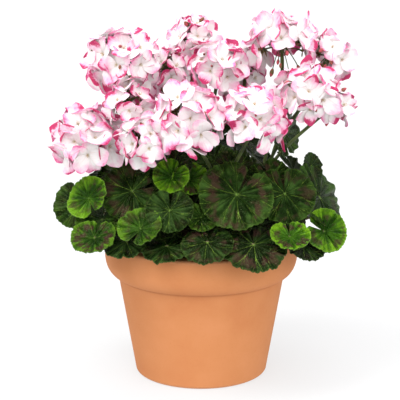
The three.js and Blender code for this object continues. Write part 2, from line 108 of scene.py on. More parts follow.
bpy.ops.mesh.primitive_plane_add(size=40)
floor = bpy.context.object
floor.name = "floor"
floor_paint, _, floor_inputs = finish("pale_floor", 0.9, Specular_IOR_Level=0.1)
floor_inputs["Base Color"].default_value = FLOOR_COLOUR
floor_inputs["Emission Color"].default_value = (1, 1, 1, 1)
floor_inputs["Emission Strength"].default_value = FLOOR_GLOW
floor.data.materials.append(floor_paint)


# ---- pot ------------------------------------------------------------------------------------------
# The pot is thrown red clay, fired and unglazed. Its wall is drawn once as a closed section, with the
# rounded foot, the swollen rim band and the rounded lip, and turned round the pot's axis.
POT_HEIGHT, POT_WALL, POT_FLOOR, FOOT_ROUND, LIP_ROUND = 150, 7, 8, 4, 3
FOOT_RADIUS, NECK_RADIUS, RIM_RADIUS, DRAIN_RADIUS = 71, 90, 104, 8
RIM_UNDER, RIM_CURVE = 110, 22
DRAIN_EDGE = 0.8  # how far the drain hole's edges are broken
CLAY = [(0.53, 0.198, 0.075, 1), (0.56, 0.222, 0.086, 1), (0.595, 0.242, 0.100, 1)]
CLAY_DUST = (0.68, 0.34, 0.18, 1)


def put(tree, kind, into=None, **settings):
    """Adds a node; `into` gives its inputs, each a value or the output that feeds it."""
    node = tree.nodes.new("ShaderNode" + kind)
    for key, value in settings.items():
        setattr(node, key, value)
    for key, value in (into or {}).items():
        if isinstance(value, bpy.types.NodeSocket):
            tree.links.new(value, node.inputs[key])
        else:
            node.inputs[key].default_value = value
    return node


def calc(tree, operation, *values):
    """The result of a sum on values or outputs."""
    return put(tree, "Math", dict(enumerate(values)), operation=operation).outputs[0]


def times(tree, first, second):
    """The product of two values or outputs."""
    return calc(tree, "MULTIPLY", first, second)


def plus(tree, first, second):
    """The sum of two values or outputs."""
    return calc(tree, "ADD", first, second)


def minus(tree, first, second):
    """What is left of the first when the second is taken from it."""
    return calc(tree, "SUBTRACT", first, second)


def fade(tree, value, low, high, start=0.0, end=1.0):
    """A soft step from `start` where the value is low to `end` where it is high."""
    into = {"Value": value, "From Min": low, "From Max": high, "To Min": start, "To Max": end}
    return put(tree, "MapRange", into, interpolation_type="SMOOTHSTEP").outputs[0]


def tint(tree, share, first, second):
    """Two colours mixed by a share."""
    return put(tree, "Mix", {0: share, 6: first, 7: second}, data_type="RGBA").outputs[2]


def ramp(tree, value, stops):
    """A run of colours along a value, given as (place, colour) pairs."""
    node = put(tree, "ValToRGB", {0: value})
    stops_made = node.color_ramp.elements
    while len(stops_made) < len(stops):
        stops_made.new(0.5)
    for made, (place, colour) in zip(stops_made, stops):
        made.position, made.color = place, colour
    return node.outputs[0]


def drawn_out(tree, vector, scale, detail):
    """Noise that is stretched by other scales along each axis."""
    stretched = put(tree, "Mapping", {"Vector": vector, "Scale": scale}).outputs[0]
    return put(tree, "TexNoise", {"Vector": stretched, "Scale": 1.0, "Detail": detail}).outputs["Fac"]


def emboss(tree, inputs, height, strength, distance):
    """Fine relief from a height, at a strength and over a distance in millimetres."""
    bump = put(tree, "Bump", {"Height": height, "Strength": strength, "Distance": distance * MM})
    tree.links.new(bump.outputs[0], inputs["Normal"])


def new_mottling():
    """Uneven colour as on fired or grown things: broad clouds and fine grain, round 0.5."""
    group = bpy.data.node_groups.new("mottling", "ShaderNodeTree")
    for name, kind in (("Vector", "Vector"), ("Broad Scale", "Float"), ("Fine Scale", "Float")):
        group.interface.new_socket(name, in_out="INPUT", socket_type="NodeSocket" + kind)
    for name in ("Broad", "Fine"):
        group.interface.new_socket(name, in_out="OUTPUT", socket_type="NodeSocketFloat")
    given = group.nodes.new("NodeGroupInput").outputs
    result = group.nodes.new("NodeGroupOutput").inputs
    for name, detail, rough in (("Broad", 3.0, 0.55), ("Fine", 2.0, 0.6)):
        into = {"Vector": given["Vector"], "Scale": given[name + " Scale"], "Detail": detail}
        noise = put(group, "TexNoise", {**into, "Roughness": rough})
        group.links.new(noise.outputs["Fac"], result[name])
    return group


MOTTLING = new_mottling()


def mottle(tree, vector, broad, fine):
    """The broad and the fine output of the mottling on a vector, at sizes per metre."""
    node = put(tree, "Group", node_tree=MOTTLING)
    tree.links.new(vector, node.inputs["Vector"])
    node.inputs["Broad Scale"].default_value = broad
    node.inputs["Fine Scale"].default_value = fine
    return node.outputs["Broad"], node.outputs["Fine"]


def body_radius(z):
    """The outer radius of the pot's straight wall at a height."""
    return FOOT_RADIUS + (NECK_RADIUS - FOOT_RADIUS) * z / RIM_UNDER


def bore_radius(z):
    """The inner radius of the pot at a height. It widens a little inside the rim band."""
    return body_radius(min(z, RIM_UNDER)) - POT_WALL + 0.12 * max(0, z - RIM_UNDER)


def arc(centre, radius, start, end, steps):
    """Points on an arc in the plane of radius and height, from one angle to another in degrees."""
    angles = [math.radians(start + (end - start) * i / steps) for i in range(steps + 1)]
    return [(centre[0] + radius * math.cos(a), centre[1] + radius * math.sin(a)) for a in angles]


def turned(name, profile, steps, closed=True):
    """A piece turned round the upright axis from a section, given as (radius, height) pairs."""
    bpy.ops.object.select_all(action="DESELECT")
    bpy.ops.mesh.primitive_circle_add(vertices=len(profile), radius=1)
    piece = bpy.context.object
    piece.name = name
    for corner, (radius, height) in zip(piece.data.vertices, profile):
        corner.co = (radius * MM, 0, height * MM)
    if not closed:
        ends = {0, len(profile) - 1}
        for edge in piece.data.edges:
            edge.select = set(edge.vertices) == ends
        for corner in piece.data.vertices:
            corner.select = corner.index in ends
        bpy.ops.object.mode_set(mode="EDIT")
        bpy.ops.mesh.select_mode(type="EDGE")
        bpy.ops.mesh.delete(type="EDGE")
        bpy.ops.mesh.select_mode(type="VERT")
    else:
        bpy.ops.object.mode_set(mode="EDIT")
    bpy.ops.mesh.select_all(action="SELECT")
    bpy.ops.mesh.spin(steps=steps, angle=FULL_TURN, center=(0, 0, 0), axis=(0, 0, 1))
    bpy.ops.mesh.select_all(action="SELECT")
    bpy.ops.mesh.remove_doubles(threshold=0.01 * MM)
    bpy.ops.mesh.normals_make_consistent(inside=False)
    bpy.ops.object.mode_set(mode="OBJECT")
    return piece


def smooth(piece, degrees):
    """Shades a piece smooth, up to an angle between its faces."""
    bpy.ops.object.select_all(action="DESELECT")
    piece.select_set(True)
    bpy.context.view_layer.objects.active = piece
    bpy.ops.object.shade_smooth_by_angle(angle=math.radians(degrees))


section = [(DRAIN_RADIUS + DRAIN_EDGE, 0)]
section += arc((body_radius(FOOT_ROUND) - FOOT_ROUND, FOOT_ROUND), FOOT_ROUND, -90, 0, 6)
section += [(body_radius(z), z) for z in range(12, 108, 8)]
section += [(body_radius(108.4), 108.4), (90.15, 109.5), (90.8, 110.05)]
for turn in range(8, 91, 6):
    swell = (RIM_RADIUS - NECK_RADIUS) * math.sin(math.radians(turn))
    section.append((NECK_RADIUS + swell, RIM_UNDER + RIM_CURVE * (1 - math.cos(math.radians(turn)))))
section += [(RIM_RADIUS + 0.2, 138), (RIM_RADIUS + 0.4, 143)]
section += arc((RIM_RADIUS + 0.5 - LIP_ROUND, POT_HEIGHT - LIP_ROUND), LIP_ROUND, 0, 90, 6)
inner_lip = bore_radius(POT_HEIGHT) + LIP_ROUND
section += arc((inner_lip, POT_HEIGHT - LIP_ROUND), LIP_ROUND, 90, 180, 6)
section += [(bore_radius(z), z) for z in (135, 122, 110, 90, 70, 50, 30, 13)]
section += arc((bore_radius(12) - FOOT_ROUND, 12), FOOT_ROUND, 0, -90, 4)
section += [(30, POT_FLOOR), (DRAIN_RADIUS + DRAIN_EDGE, POT_FLOOR)]
section += [(DRAIN_RADIUS, POT_FLOOR - DRAIN_EDGE), (DRAIN_RADIUS, DRAIN_EDGE)]

pot = turned("terracotta_pot", section, 144)
smooth(pot, 40)

clay, tree, inputs = finish("fired_clay", 0.86, Specular_IOR_Level=0.22)
place = put(tree, "TexCoord").outputs["Object"]
broad, fine = mottle(tree, place, 22, 420)
colour = ramp(tree, broad, [(0.25, CLAY[0]), (0.5, CLAY[1]), (0.78, CLAY[2])])
rings = drawn_out(tree, place, (5, 5, 190), 2.0)
height = put(tree, "SeparateXYZ", {0: place}).outputs["Z"]
# fine dust of the clay on the lip and the foot's edge, and painted shade: a darker line in the groove under
# the band, where the band shades the wall
lip = fade(tree, height, 0.1455, 0.1500)
foot = fade(tree, height, 0.0045, 0.0005)
worn = times(tree, calc(tree, "MAXIMUM", lip, foot), fade(tree, fine, 0.35, 0.62))
colour = tint(tree, times(tree, worn, 0.55), colour, CLAY_DUST)
# painted shade: the wall just under the rim band is darkened as if the band shaded it
groove_shade_distance = calc(tree, "ABSOLUTE", minus(tree, height, 0.1096))
colour = tint(tree, fade(tree, groove_shade_distance, 0.0028, 0.0004, 0, 0.30), colour, (0.27, 0.082, 0.027, 1))
speck = fade(tree, fine, 0.64, 0.74, 0, 0.16)
colour = tint(tree, speck, colour, (0.40, 0.14, 0.055, 1))
tree.links.new(colour, inputs["Base Color"])
tree.links.new(fade(tree, fine, 0.3, 0.7, 0.78, 0.92), inputs["Roughness"])
relief = plus(tree, times(tree, rings, 0.6), times(tree, fine, 0.5))
emboss(tree, inputs, relief, strength=0.22, distance=0.3)
pot.data.materials.append(clay)
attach(pot, "root")
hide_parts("pot")


# ---- soil -----------------------------------------------------------------------------------------
# A plug of dark peat potting mix fills the pot to a finger's width under the lip. Its top is mounded
# and uneven, and loose crumbs of peat and a few white grains lie on it.
SOIL_TOP, SOIL_MOUND, SOIL_CRUMB, SOIL_SEAT = 134, 3, 1.2, 0.45
PEAT = [(0.018, 0.011, 0.007, 1), (0.055, 0.034, 0.021, 1), (0.12, 0.08, 0.05, 1)]
CRUMBS, WHITE_GRAINS = 230, 26
CLEARANCE = 0.3  # between two pieces that touch


def soil_height(x, y, share):
    """The height of the soil's top at a place, by its share of the way out to the wall."""
    crumbs = np.sin(x * 0.23 + 1.7) * np.cos(y * 0.19 - 0.6) + 0.6 * np.sin(x * 0.11 - y * 0.31)
    lumps = 0.5 * np.sin(x * 0.83 + y * 0.4) * np.sin(y * 0.71 - x * 0.2 + 2)
    return SOIL_TOP + SOIL_MOUND * (1 - share**2) + SOIL_CRUMB * (crumbs + lumps) * (1 - share)


def points_of(piece):
    """The corners of a piece's mesh in millimetres, as rows."""
    found = np.empty(len(piece.data.vertices) * 3)
    piece.data.vertices.foreach_get("co", found)
    return found.reshape(-1, 3) / MM


def lay(piece, points):
    """Moves the corners of a piece's mesh to new points, in millimetres."""
    piece.data.vertices.foreach_set("co", (np.asarray(points) * MM).ravel())
    piece.data.update()


def mark(piece, name, value):
    """Writes a number, or one for each corner, on a piece for its material to read."""
    layer = piece.data.attributes.new(name, "FLOAT", "POINT")
    layer.data.foreach_set("value", np.full(len(piece.data.vertices), value, float))


def copy_of(master, points, **marks):
    """A copy of a finished shape with its own mesh and marks, laid at new points in millimetres."""
    made = master.copy()
    made.data = master.data.copy()
    bpy.context.collection.objects.link(made)
    lay(made, points)
    for name, value in marks.items():
        mark(made, name, value)
    return made


def joined(name, parts):
    """Joins pieces into the first of them."""
    bpy.ops.object.select_all(action="DESELECT")
    for part in parts:
        part.select_set(True)
    bpy.context.view_layer.objects.active = parts[0]
    if len(parts) > 1:
        bpy.ops.object.join()
    parts[0].name = name
    parts[0].data.name = name
    return parts[0]


def discard(*masters):
    """Removes shapes of which only the copies stay."""
    for master in masters:
        bpy.data.objects.remove(master)


wall = [(bore_radius(z) - SOIL_SEAT, z) for z in (13, 50, 90, 110, 122, SOIL_TOP)]
outer = wall[-1][0]
section = [(0, POT_FLOOR + CLEARANCE), (wall[0][0] - 5, POT_FLOOR + CLEARANCE)] + wall
section += [(outer * share, SOIL_TOP) for share in np.linspace(0.93, 0, 15)]
soil = turned("potting_soil", section, 96, closed=False)
corners = points_of(soil)
reach = np.hypot(corners[:, 0], corners[:, 1])
top = corners[:, 2] > SOIL_TOP - 0.5
share = np.minimum(reach / outer, 1)
corners[top, 2] = soil_height(corners[top, 0], corners[top, 1], share[top])
lay(soil, corners)
smooth(soil, 50)

peat, tree, inputs = finish("peat_mix", 0.95, Specular_IOR_Level=0.15)
place = put(tree, "TexCoord").outputs["Object"]
broad, fine = mottle(tree, place, 90, 700)
mixed = plus(tree, times(tree, broad, 0.5), times(tree, fine, 0.5))
colour = ramp(tree, mixed, [(0.32, PEAT[0]), (0.5, PEAT[1]), (0.7, PEAT[2])])
tree.links.new(colour, inputs["Base Color"])
emboss(tree, inputs, mixed, strength=0.9, distance=1.6)
soil.data.materials.append(peat)

bpy.ops.object.select_all(action="DESELECT")
bpy.ops.mesh.primitive_ico_sphere_add(subdivisions=1, radius=MM)
crumb = bpy.context.object
crumb.data.materials.append(peat)
perlite, tree, inputs = finish("white_grain", 0.9)
_, fine = mottle(tree, put(tree, "TexCoord").outputs["Object"], 90, 900)
grain = ramp(tree, fine, [(0.35, (0.55, 0.53, 0.5, 1)), (0.65, (0.8, 0.79, 0.76, 1))])
tree.links.new(grain, inputs["Base Color"])
grain_shape = crumb.copy()
grain_shape.data = crumb.data.copy()
bpy.context.collection.objects.link(grain_shape)
grain_shape.data.materials[0] = perlite
ball = points_of(crumb)
chance = np.random.default_rng(7)
lying = []
for i in range(CRUMBS + WHITE_GRAINS):
    white = i >= CRUMBS
    turn, share = chance.uniform(0, FULL_TURN), math.sqrt(chance.uniform(0, 0.92))
    x, y = outer * share * math.cos(turn), outer * share * math.sin(turn)
    size = chance.uniform(0.8, 1.5) if white else chance.uniform(1.0, 2.8)
    lump = ball * chance.uniform(0.75, 1.25, ball.shape) * size * chance.uniform(0.6, 1.2, 3)
    lump += (x, y, soil_height(x, y, share) + size * 0.25)
    lying.append(copy_of(grain_shape if white else crumb, lump))
soil_crumbs = joined("soil_crumbs", lying)
discard(crumb, grain_shape)
for piece in (soil, soil_crumbs):
    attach(piece, "root")
    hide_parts("soil")


# ---- the plant's plan -----------------------------------------------------------------------------
# Seven shoots stand in the soil, and each leans from its foot to its crown. The rows give each leaf's
# place, radius, the azimuth and elevation that it faces, its turn, its cup, its youth and how strong its
# dark ring is, and each flower head's place, radius, florets and facing, in millimetres and degrees.
# Youth runs from 1, fresh and light, over 0, full-grown, to -1, nearly black; below 0 it is painted
# shade for leaves that lie in the shade of others. A head may have an opening, a direction and a width
# where it has buds and no florets.
SHOOTS = [
    ("left", (-40, -8), (-70, -18, 206), [
        (-132, 4, 186, 30, 240, 25, 20, 0.12, 0.10, 0.25),
        (-112, 34, 212, 27, 172, 36, 0, 0.14, 0.05, 0.40),
        (-117, -52, 204, 24, 238, 28, -140, 0.20, 0.80, 0.70),
        (-104, -52, 181, 28, 240, 62, 10, 0.10, 0.30, 0.20),
        (-110, -80, 169, 24, 250, 56, 0, 0.22, 0.48, 1.10),
        (-92, -2, 219, 25, 215, 50, 0, 0.10, 0.10, 0.40),
    ], [
        ("left_front", (-119, -24, 259), 40, 18, (215, 60), None),
        ("left_top", (-82, -12, 339), 41, 18, (250, 66), None),
        ("left_mid", (-74, -45, 301), 26, 9, (240, 60), None),
    ]),
    ("front_left", (-26, -34), (-44, -46, 200), [
        (-72, -44, 210, 35, 255, 38, -70, 0.15, 0.05, 0.90),
        (-62, -92, 182, 24, 245, 45, 170, 0.22, 0.45, 0.55),
        (-77, -80, 165, 25, 245, 66, -70, -0.04, -0.30, 0.20),
        (-35, -94, 164, 27, 262, 76, -50, -0.06, -0.30, 0.35),
        (-32, -87, 200, 25, 262, 34, 0, 0.12, -0.30, 0.15),
        (-30, -64, 230, 20, 255, 38, -30, 0.22, 0.85, 0.55),
        (-12, -58, 226, 20, 290, 42, 20, 0.20, 0.75, 0.90),
        (-42, -68, 184, 25, 260, 52, 0, 0.12, -0.60, 0.20),
    ], [
        ("mid_left_front", (-58, -66, 267), 29, 13, (240, 60), None),
    ]),
    ("front_right", (16, -40), (24, -48, 206), [
        (36, -84, 216, 39, 265, 34, -30, 0.02, 0.05, 1.00),
        (53, -106, 169, 34, 278, 60, 0, -0.06, -0.50, 0.90),
        (6, -108, 172, 27, 258, 60, 0, -0.06, -0.40, 0.80),
        (0, -84, 192, 18, 275, 45, 0, 0.20, 0.20, 0.30),
        (26, -74, 184, 27, 270, 55, 0, 0.12, -0.60, 0.50),
        (12, -34, 238, 25, 268, 40, 0, 0.14, 0.05, 0.30),
    ], [
        ("centre_front", (-11, -76, 290), 39, 17, (262, 55), None),
        ("right_front", (55, -76, 293), 35, 15, (285, 55), None),
    ]),
    ("right", (42, -10), (70, -24, 212), [
        (86, -68, 213, 33, 285, 32, 0, 0.04, 0.05, 0.70),
        (126, -18, 197, 39, 330, 32, 80, 0.06, 0.05, 0.40),
        (118, 6, 226, 15, 322, 16, 180, 0.20, -0.40, 0.20),
        (118, 12, 168, 26, 5, 55, 0, 0.12, 0.05, 0.30),
        (90, -98, 175, 21, 280, 60, 0, 0.25, 0.90, 0.90),
        (84, -60, 184, 25, 290, 52, 0, 0.12, -0.40, 0.60),
        (129, -50, 168, 25, 292, 36, 60, 0.20, 0.90, 0.80),
        (107, -64, 156, 23, 305, 62, 0, 0.10, -0.50, 0.30),
        (70, -42, 222, 24, 275, 30, 20, 0.14, 0.05, 0.90),
        (87, -4, 266, 33, 335, 12, 180, 0.10, 0.05, 0.10),
    ], [
        ("right_mid", (108, -36, 311), 33, 14, (300, 60), None),
        ("right_low", (138, -2, 292), 25, 9, (340, 45), None),
        ("right_top", (85, 10, 351), 41, 26, (250, 72), ((262, -24), 48)),
    ]),
    ("back_right", (30, 30), (56, 46, 206), [
        (104, 64, 168, 31, 30, 52, 0, 0.12, 0.15, 0.60),
        (66, 102, 166, 31, 58, 55, 0, 0.12, 0.60, 0.80),
        (102, 44, 213, 29, 22, 40, 0, 0.14, 0.05, 0.50),
        (58, 88, 212, 30, 62, 40, 0, 0.14, 0.05, 0.90),
        (42, 56, 240, 24, 80, 60, 0, 0.16, 0.40, 0.40),
    ], [
        ("right_back", (136, 24, 339), 29, 13, (10, 55), ((258, 5), 46)),
        ("back_right", (120, 62, 298), 28, 11, (45, 55), None),
        ("centre_back", (47, 33, 320), 23, 9, (80, 70), None),
    ]),
    ("back_left", (-26, 34), (-48, 52, 206), [
        (6, 112, 172, 31, 90, 55, 0, 0.12, 0.10, 0.80),
        (-51, 102, 166, 31, 117, 54, 0, 0.12, 0.70, 0.70),
        (-92, 76, 168, 33, 142, 52, 0, 0.12, 0.05, 0.60),
        (-118, 34, 170, 29, 168, 48, 0, 0.12, 0.20, 0.50),
        (-8, 90, 214, 30, 98, 40, 0, 0.14, 0.05, 0.60),
        (-68, 66, 214, 30, 132, 40, 0, 0.14, 0.10, 0.80),
    ], [
        ("back_left", (-72, 66, 298), 30, 12, (145, 55), None),
        ("back_mid", (-24, 92, 300), 33, 13, (110, 55), None),
    ]),
    ("middle", (0, 2), (0, 8, 236), [
        (10, 56, 257, 23, 95, 45, 0, 0.14, 0.10, 0.40),
        (-30, 22, 254, 24, 160, 50, 0, 0.14, 0.10, 0.40),
    ], [
        ("centre_top", (18, 2, 333), 33, 14, (280, 75), None),
        ("top_back", (-10, 48, 356), 27, 13, (268, 60), None),
        ("mid_back", (-37, 16, 326), 28, 12, (200, 75), None),
        ("back_top", (40, 94, 306), 32, 12, (75, 55), None),
    ]),
]
HUB_HEIGHT = 9


def draw(n):
    """A repeatable draw from 0 to 1 for the n-th choice."""
    s = math.sin(n * 12.9898 + 78.233) * 43758.5453
    return s - math.floor(s)


def heading(azimuth, elevation):
    """The unit vector that points to an azimuth and an elevation in degrees."""
    a, e = math.radians(azimuth), math.radians(elevation)
    return np.array((math.cos(e) * math.cos(a), math.cos(e) * math.sin(a), math.sin(e)))


def unit(vector):
    """A vector at length 1."""
    return vector / np.linalg.norm(vector)


def side_of(facing):
    """A direction at right angles to the one that a floret faces."""
    return unit(np.cross(facing, (0, 0, 1) if abs(facing[2]) < 0.9 else (1, 0, 0)))


def spun(vector, axis, degrees):
    """A vector turned round an axis."""
    c, s = math.cos(math.radians(degrees)), math.sin(math.radians(degrees))
    return vector * c + np.cross(axis, vector) * s + axis * (axis @ vector) * (1 - c)


# ---- leaves ---------------------------------------------------------------------------------------
# A leaf is a soft round blade with a deep notch behind the stalk's end, nine veins that fork, folds that
# spread from the stalk's end and rounded teeth. It is modelled flat once from a grid, and every leaf is
# a copy that is cupped, folded and waved in its own way. Small ones by rule fill the plant's inside.
VEIN_STEP = math.radians(2 * 166 / 9)  # angle between two main veins
NOTCH = math.radians(172)  # the notch lies past this angle from the tip, on both sides
NOTCH_DEPTH = 0.16
BLADE_ACROSS, NOTCH_COLUMNS = 144, 3
RINGS = [0, 0.07, 0.14, 0.22, 0.30, 0.39, 0.48, 0.57, 0.66, 0.74, 0.82, 0.89, 0.95, 1]
BLADE_THICKNESS = 0.8
LOBE, TOOTH, PLEAT, VEIN_GROOVE = 0.012, 0.030, 0.026, 0.018
FOLD = 0.038
FOLDS = [(8, 0.5), (13, 0.8), (19, 1.0), (26, 0.6)]  # how many folds go round the leaf, how high
INNER_RINGS = [(68, 172), (44, 166), (66, 156), (30, 200), (62, 184), (50, 210), (34, 224), (56, 230)]
OLD_GREEN = [(0.0003, 0.0018, 0.0001, 1), (0.0020, 0.0105, 0.0006, 1), (0.026, 0.062, 0.011, 1)]
YOUNG_GREEN = [(0.006, 0.032, 0.0006, 1), (0.032, 0.104, 0.0012, 1), (0.120, 0.27, 0.004, 1)]
VEIN_GREEN = (0.22, 0.36, 0.05, 1)
RING_BROWN = (0.036, 0.014, 0.012, 1)
UNDER_GREEN = (0.030, 0.055, 0.014, 1)


def even_edge(angle):
    """The edge of a flat leaf of radius 1 without its teeth, rounded off beside the notch."""
    behind = np.clip((np.abs(angle) - math.radians(140)) / math.radians(32), 0, 1)
    return 0.95 + 0.07 * np.sin(angle) ** 2 + 0.03 * np.cos(angle) - 0.17 * behind**2.2


def leaf_edge(angle):
    """How far the edge of a flat leaf of radius 1 lies from the stalk's end."""
    lobes = 0.5 - 0.5 * np.cos(2 * np.pi * angle / VEIN_STEP)
    teeth = 1 - np.abs(np.cos(4 * np.pi * angle / VEIN_STEP))
    out = even_edge(angle) * (1 - LOBE * lobes - TOOTH * teeth)
    # past the notch's edge the blade ends on a straight line to the bottom of the notch
    rim = even_edge(NOTCH)
    back, wide = -rim * math.cos(NOTCH), rim * math.sin(NOTCH)
    slope = np.tan(np.abs(angle))
    along = -NOTCH_DEPTH * slope / (wide + slope * (back - NOTCH_DEPTH))
    straight = np.hypot(NOTCH_DEPTH + along * (back - NOTCH_DEPTH), along * wide)
    return np.where(np.abs(angle) > NOTCH + 1e-6, straight, out)


def lay_pattern(piece, where):
    """Gives each corner of a piece its place in the flat pattern that the material reads."""
    pattern = piece.data.uv_layers.active
    corner_of = np.empty(len(piece.data.loops), int)
    piece.data.loops.foreach_get("vertex_index", corner_of)
    pattern.data.foreach_set("uv", where[corner_of].ravel())
    return pattern.name


columns = np.linspace(-NOTCH, NOTCH, BLADE_ACROSS + 1)
behind = np.linspace(NOTCH, math.pi, NOTCH_COLUMNS + 1)[1:]
columns = np.concatenate([-behind[::-1], columns, behind])
bpy.ops.object.select_all(action="DESELECT")
bpy.ops.mesh.primitive_grid_add(
    x_subdivisions=len(columns) - 1, y_subdivisions=len(RINGS) - 1, size=2
)
blade = bpy.context.object
blade.name = "leaf_blade"
grid = points_of(blade) * MM
column = np.rint((grid[:, 0] + 1) / 2 * (len(columns) - 1)).astype(int)
ring = np.rint((grid[:, 1] + 1) / 2 * (len(RINGS) - 1)).astype(int)
angle, share = columns[column], np.array(RINGS)[ring]
even = np.where(np.abs(angle) > NOTCH + 1e-6, leaf_edge(angle), even_edge(angle))
out = share * (even + (leaf_edge(angle) - even) * share**5)
# the pattern coordinates are the angle from the tip and the share of the way out to the edge
leaf_pattern = lay_pattern(blade, np.stack([angle / FULL_TURN + 0.5, share], 1))
lay(blade, np.stack([out * np.cos(angle), out * np.sin(angle), 0 * out], 1) / MM)
blade.modifiers.new("thickness", "SOLIDIFY").thickness = 0.01
blade.modifiers["thickness"].offset = 0
bpy.ops.object.mode_set(mode="EDIT")
bpy.ops.mesh.select_all(action="SELECT")
bpy.ops.mesh.remove_doubles(threshold=1e-5)
bpy.ops.mesh.normals_make_consistent(inside=False)
bpy.ops.object.mode_set(mode="OBJECT")
if blade.data.polygons[0].normal.z < 0:
    blade.data.flip_normals()
bpy.ops.object.modifier_apply(modifier="thickness")
flat_leaf = points_of(blade) * MM
flat_under = flat_leaf[:, 2] < 0
mark(blade, "under", flat_under)


def leaf_folds(angle, seed):
    """The folds of one leaf at its edge, from about -1 in the valleys to 1 on the ridges."""
    lifts = [part * np.cos(n * angle + FULL_TURN * draw(seed + 3 * n)) for n, part in FOLDS]
    return sum(lifts) / 1.6


def leaf_lift(u, v, cup, wave, phase, seed):
    """Height of a leaf of radius 1 over its flat shape."""
    out, angle = np.hypot(u, v), np.arctan2(v, u)
    vein = angle / VEIN_STEP
    off = np.abs(vein - np.round(vein))
    lift = cup * out**1.35 - PLEAT * np.cos(2 * np.pi * vein) * out**1.5
    lift -= 0.1 * np.maximum(0, np.cos(angle)) * out**2
    lift -= VEIN_GROOVE * np.exp(-((off * VEIN_STEP * out / 0.035) ** 2)) * np.minimum(1, out * 4)
    fork = np.clip((out - 0.42) * 0.45, 0, 1)
    beside = np.abs(off - fork) * VEIN_STEP * out / 0.035
    lift -= 0.7 * VEIN_GROOVE * np.exp(-(beside**2)) * np.clip((out - 0.42) * 5, 0, 1)
    lift += FOLD * leaf_folds(angle, seed) * out**1.25
    lift += wave * out**3 * np.sin(3 * angle + phase)
    lift += 0.35 * wave * out**6 * np.sin(7 * angle + 2 * phase)
    return lift


def leaf_points(row, seed):
    """The corners of one leaf of the plan in millimetres, and how far each lies up a fold, which the leaf's
    material paints as shade in the valleys and as highlight on the ridges.
    """
    x, y, z, radius, azimuth, elevation, turn, cup = row[:8]
    up = heading(azimuth, elevation)
    tip = spun(heading(azimuth, elevation - 90), up, turn)
    side = np.cross(up, tip)
    u, v = flat_leaf[:, 0], flat_leaf[:, 1]
    bend = (cup, 0.02 + 0.05 * draw(seed), FULL_TURN * draw(seed + 1), seed)
    step = 1e-3
    lift = leaf_lift(u, v, *bend)
    slope_u = (leaf_lift(u + step, v, *bend) - lift) / step
    slope_v = (leaf_lift(u, v + step, *bend) - lift) / step
    normal = np.stack([-slope_u, -slope_v, np.ones_like(u)], 1)
    normal /= np.linalg.norm(normal, axis=1)[:, None]
    local = np.stack([u, v, lift], 1) * radius
    local[flat_under] -= normal[flat_under] * BLADE_THICKNESS
    ridge = leaf_folds(np.arctan2(v, u), seed) * np.minimum(1, np.hypot(u, v) * 1.6)
    return (x, y, z) + local @ np.stack([tip, side, up]), ridge


def inner_leaves(number):
    """Rows for the leaves inside the plant that hide the stems of one shoot, placed by rule on the
    shoot's own side of the plant, and all round it for the last shoot, which stands in the middle."""
    crown_x, crown_y, _ = SHOOTS[number][2]
    facing = math.degrees(math.atan2(crown_y, crown_x))
    rows = []
    for k, (from_axis, height) in enumerate(INNER_RINGS):
        lot = [draw(number * 19 + k * 5 + j + 400) for j in range(4)]
        turn = facing + (360 if math.hypot(crown_x, crown_y) < 20 else 62) * ((k * 0.382) % 1 - 0.5)
        x, y = from_axis * math.cos(math.radians(turn)), from_axis * math.sin(math.radians(turn))
        size = 23 + 4 * lot[2]
        # youth -1 is painted shade that turns these inner leaves nearly black
        rows.append((x, y, height + 14 * lot[1], size, turn, 38 + 28 * lot[3], 0, 0.14, -1, 0.5))
    return rows


leaf_skin, tree, inputs = finish("leaf_skin", 0.3, IOR=1.38)
inputs["Specular Tint"].default_value = (0.65, 1.0, 0.35, 1)
place = put(tree, "TexCoord").outputs["Object"]
flat_place = put(tree, "UVMap", uv_map=leaf_pattern).outputs[0]
spread = put(tree, "SeparateXYZ", {0: flat_place})
young = put(tree, "Attribute", attribute_name="young").outputs["Fac"]
zoned = put(tree, "Attribute", attribute_name="zone").outputs["Fac"]
under = put(tree, "Attribute", attribute_name="under").outputs["Fac"]
ridge = put(tree, "Attribute", attribute_name="ridge").outputs["Fac"]
out = spread.outputs["Y"]
vein = times(tree, minus(tree, spread.outputs["X"], 0.5), FULL_TURN / VEIN_STEP)
off = calc(tree, "ABSOLUTE", minus(tree, vein, calc(tree, "ROUND", vein)))
broad, fine = mottle(tree, place, 60, 520)
# streaks that run out from the stalk's end as the folds do
fanned = put(tree, "Mapping", {"Vector": flat_place, "Scale": (34, 1.6, 1)}).outputs[0]
own = put(tree, "CombineXYZ", {2: times(tree, zoned, 37)}).outputs[0]
fanned = put(tree, "VectorMath", {0: fanned, 1: own}).outputs[0]
fan = put(tree, "TexNoise", {"Vector": fanned, "Scale": 1.0, "Detail": 2.5}).outputs["Fac"]


def vein_line(offset, width):
    """A line along a vein: 1 on it, 0 past its width, from how far beside it a point lies."""
    beside = times(tree, times(tree, offset, VEIN_STEP), out)
    return fade(tree, beside, width, times(tree, width, 0.25))


width = minus(tree, 0.016, times(tree, out, 0.007))
main_line = times(tree, vein_line(off, width), fade(tree, out, 0.97, 0.55, 0.15, 1))
fork = times(tree, minus(tree, out, 0.42), 0.45)
fork_off = calc(tree, "ABSOLUTE", minus(tree, off, fork))
fork_line = times(tree, vein_line(fork_off, width), fade(tree, out, 0.42, 0.5, 0, 0.8))
twig = times(tree, minus(tree, out, 0.66), 1.15)
twig_off = calc(tree, "ABSOLUTE", minus(tree, off, plus(tree, twig, 0.11)))
twig_line = times(tree, vein_line(twig_off, width), fade(tree, out, 0.66, 0.74, 0, 0.5))
veins = calc(tree, "MAXIMUM", main_line, calc(tree, "MAXIMUM", fork_line, twig_line))
depth = plus(tree, times(tree, broad, 0.75), times(tree, fan, 0.25))
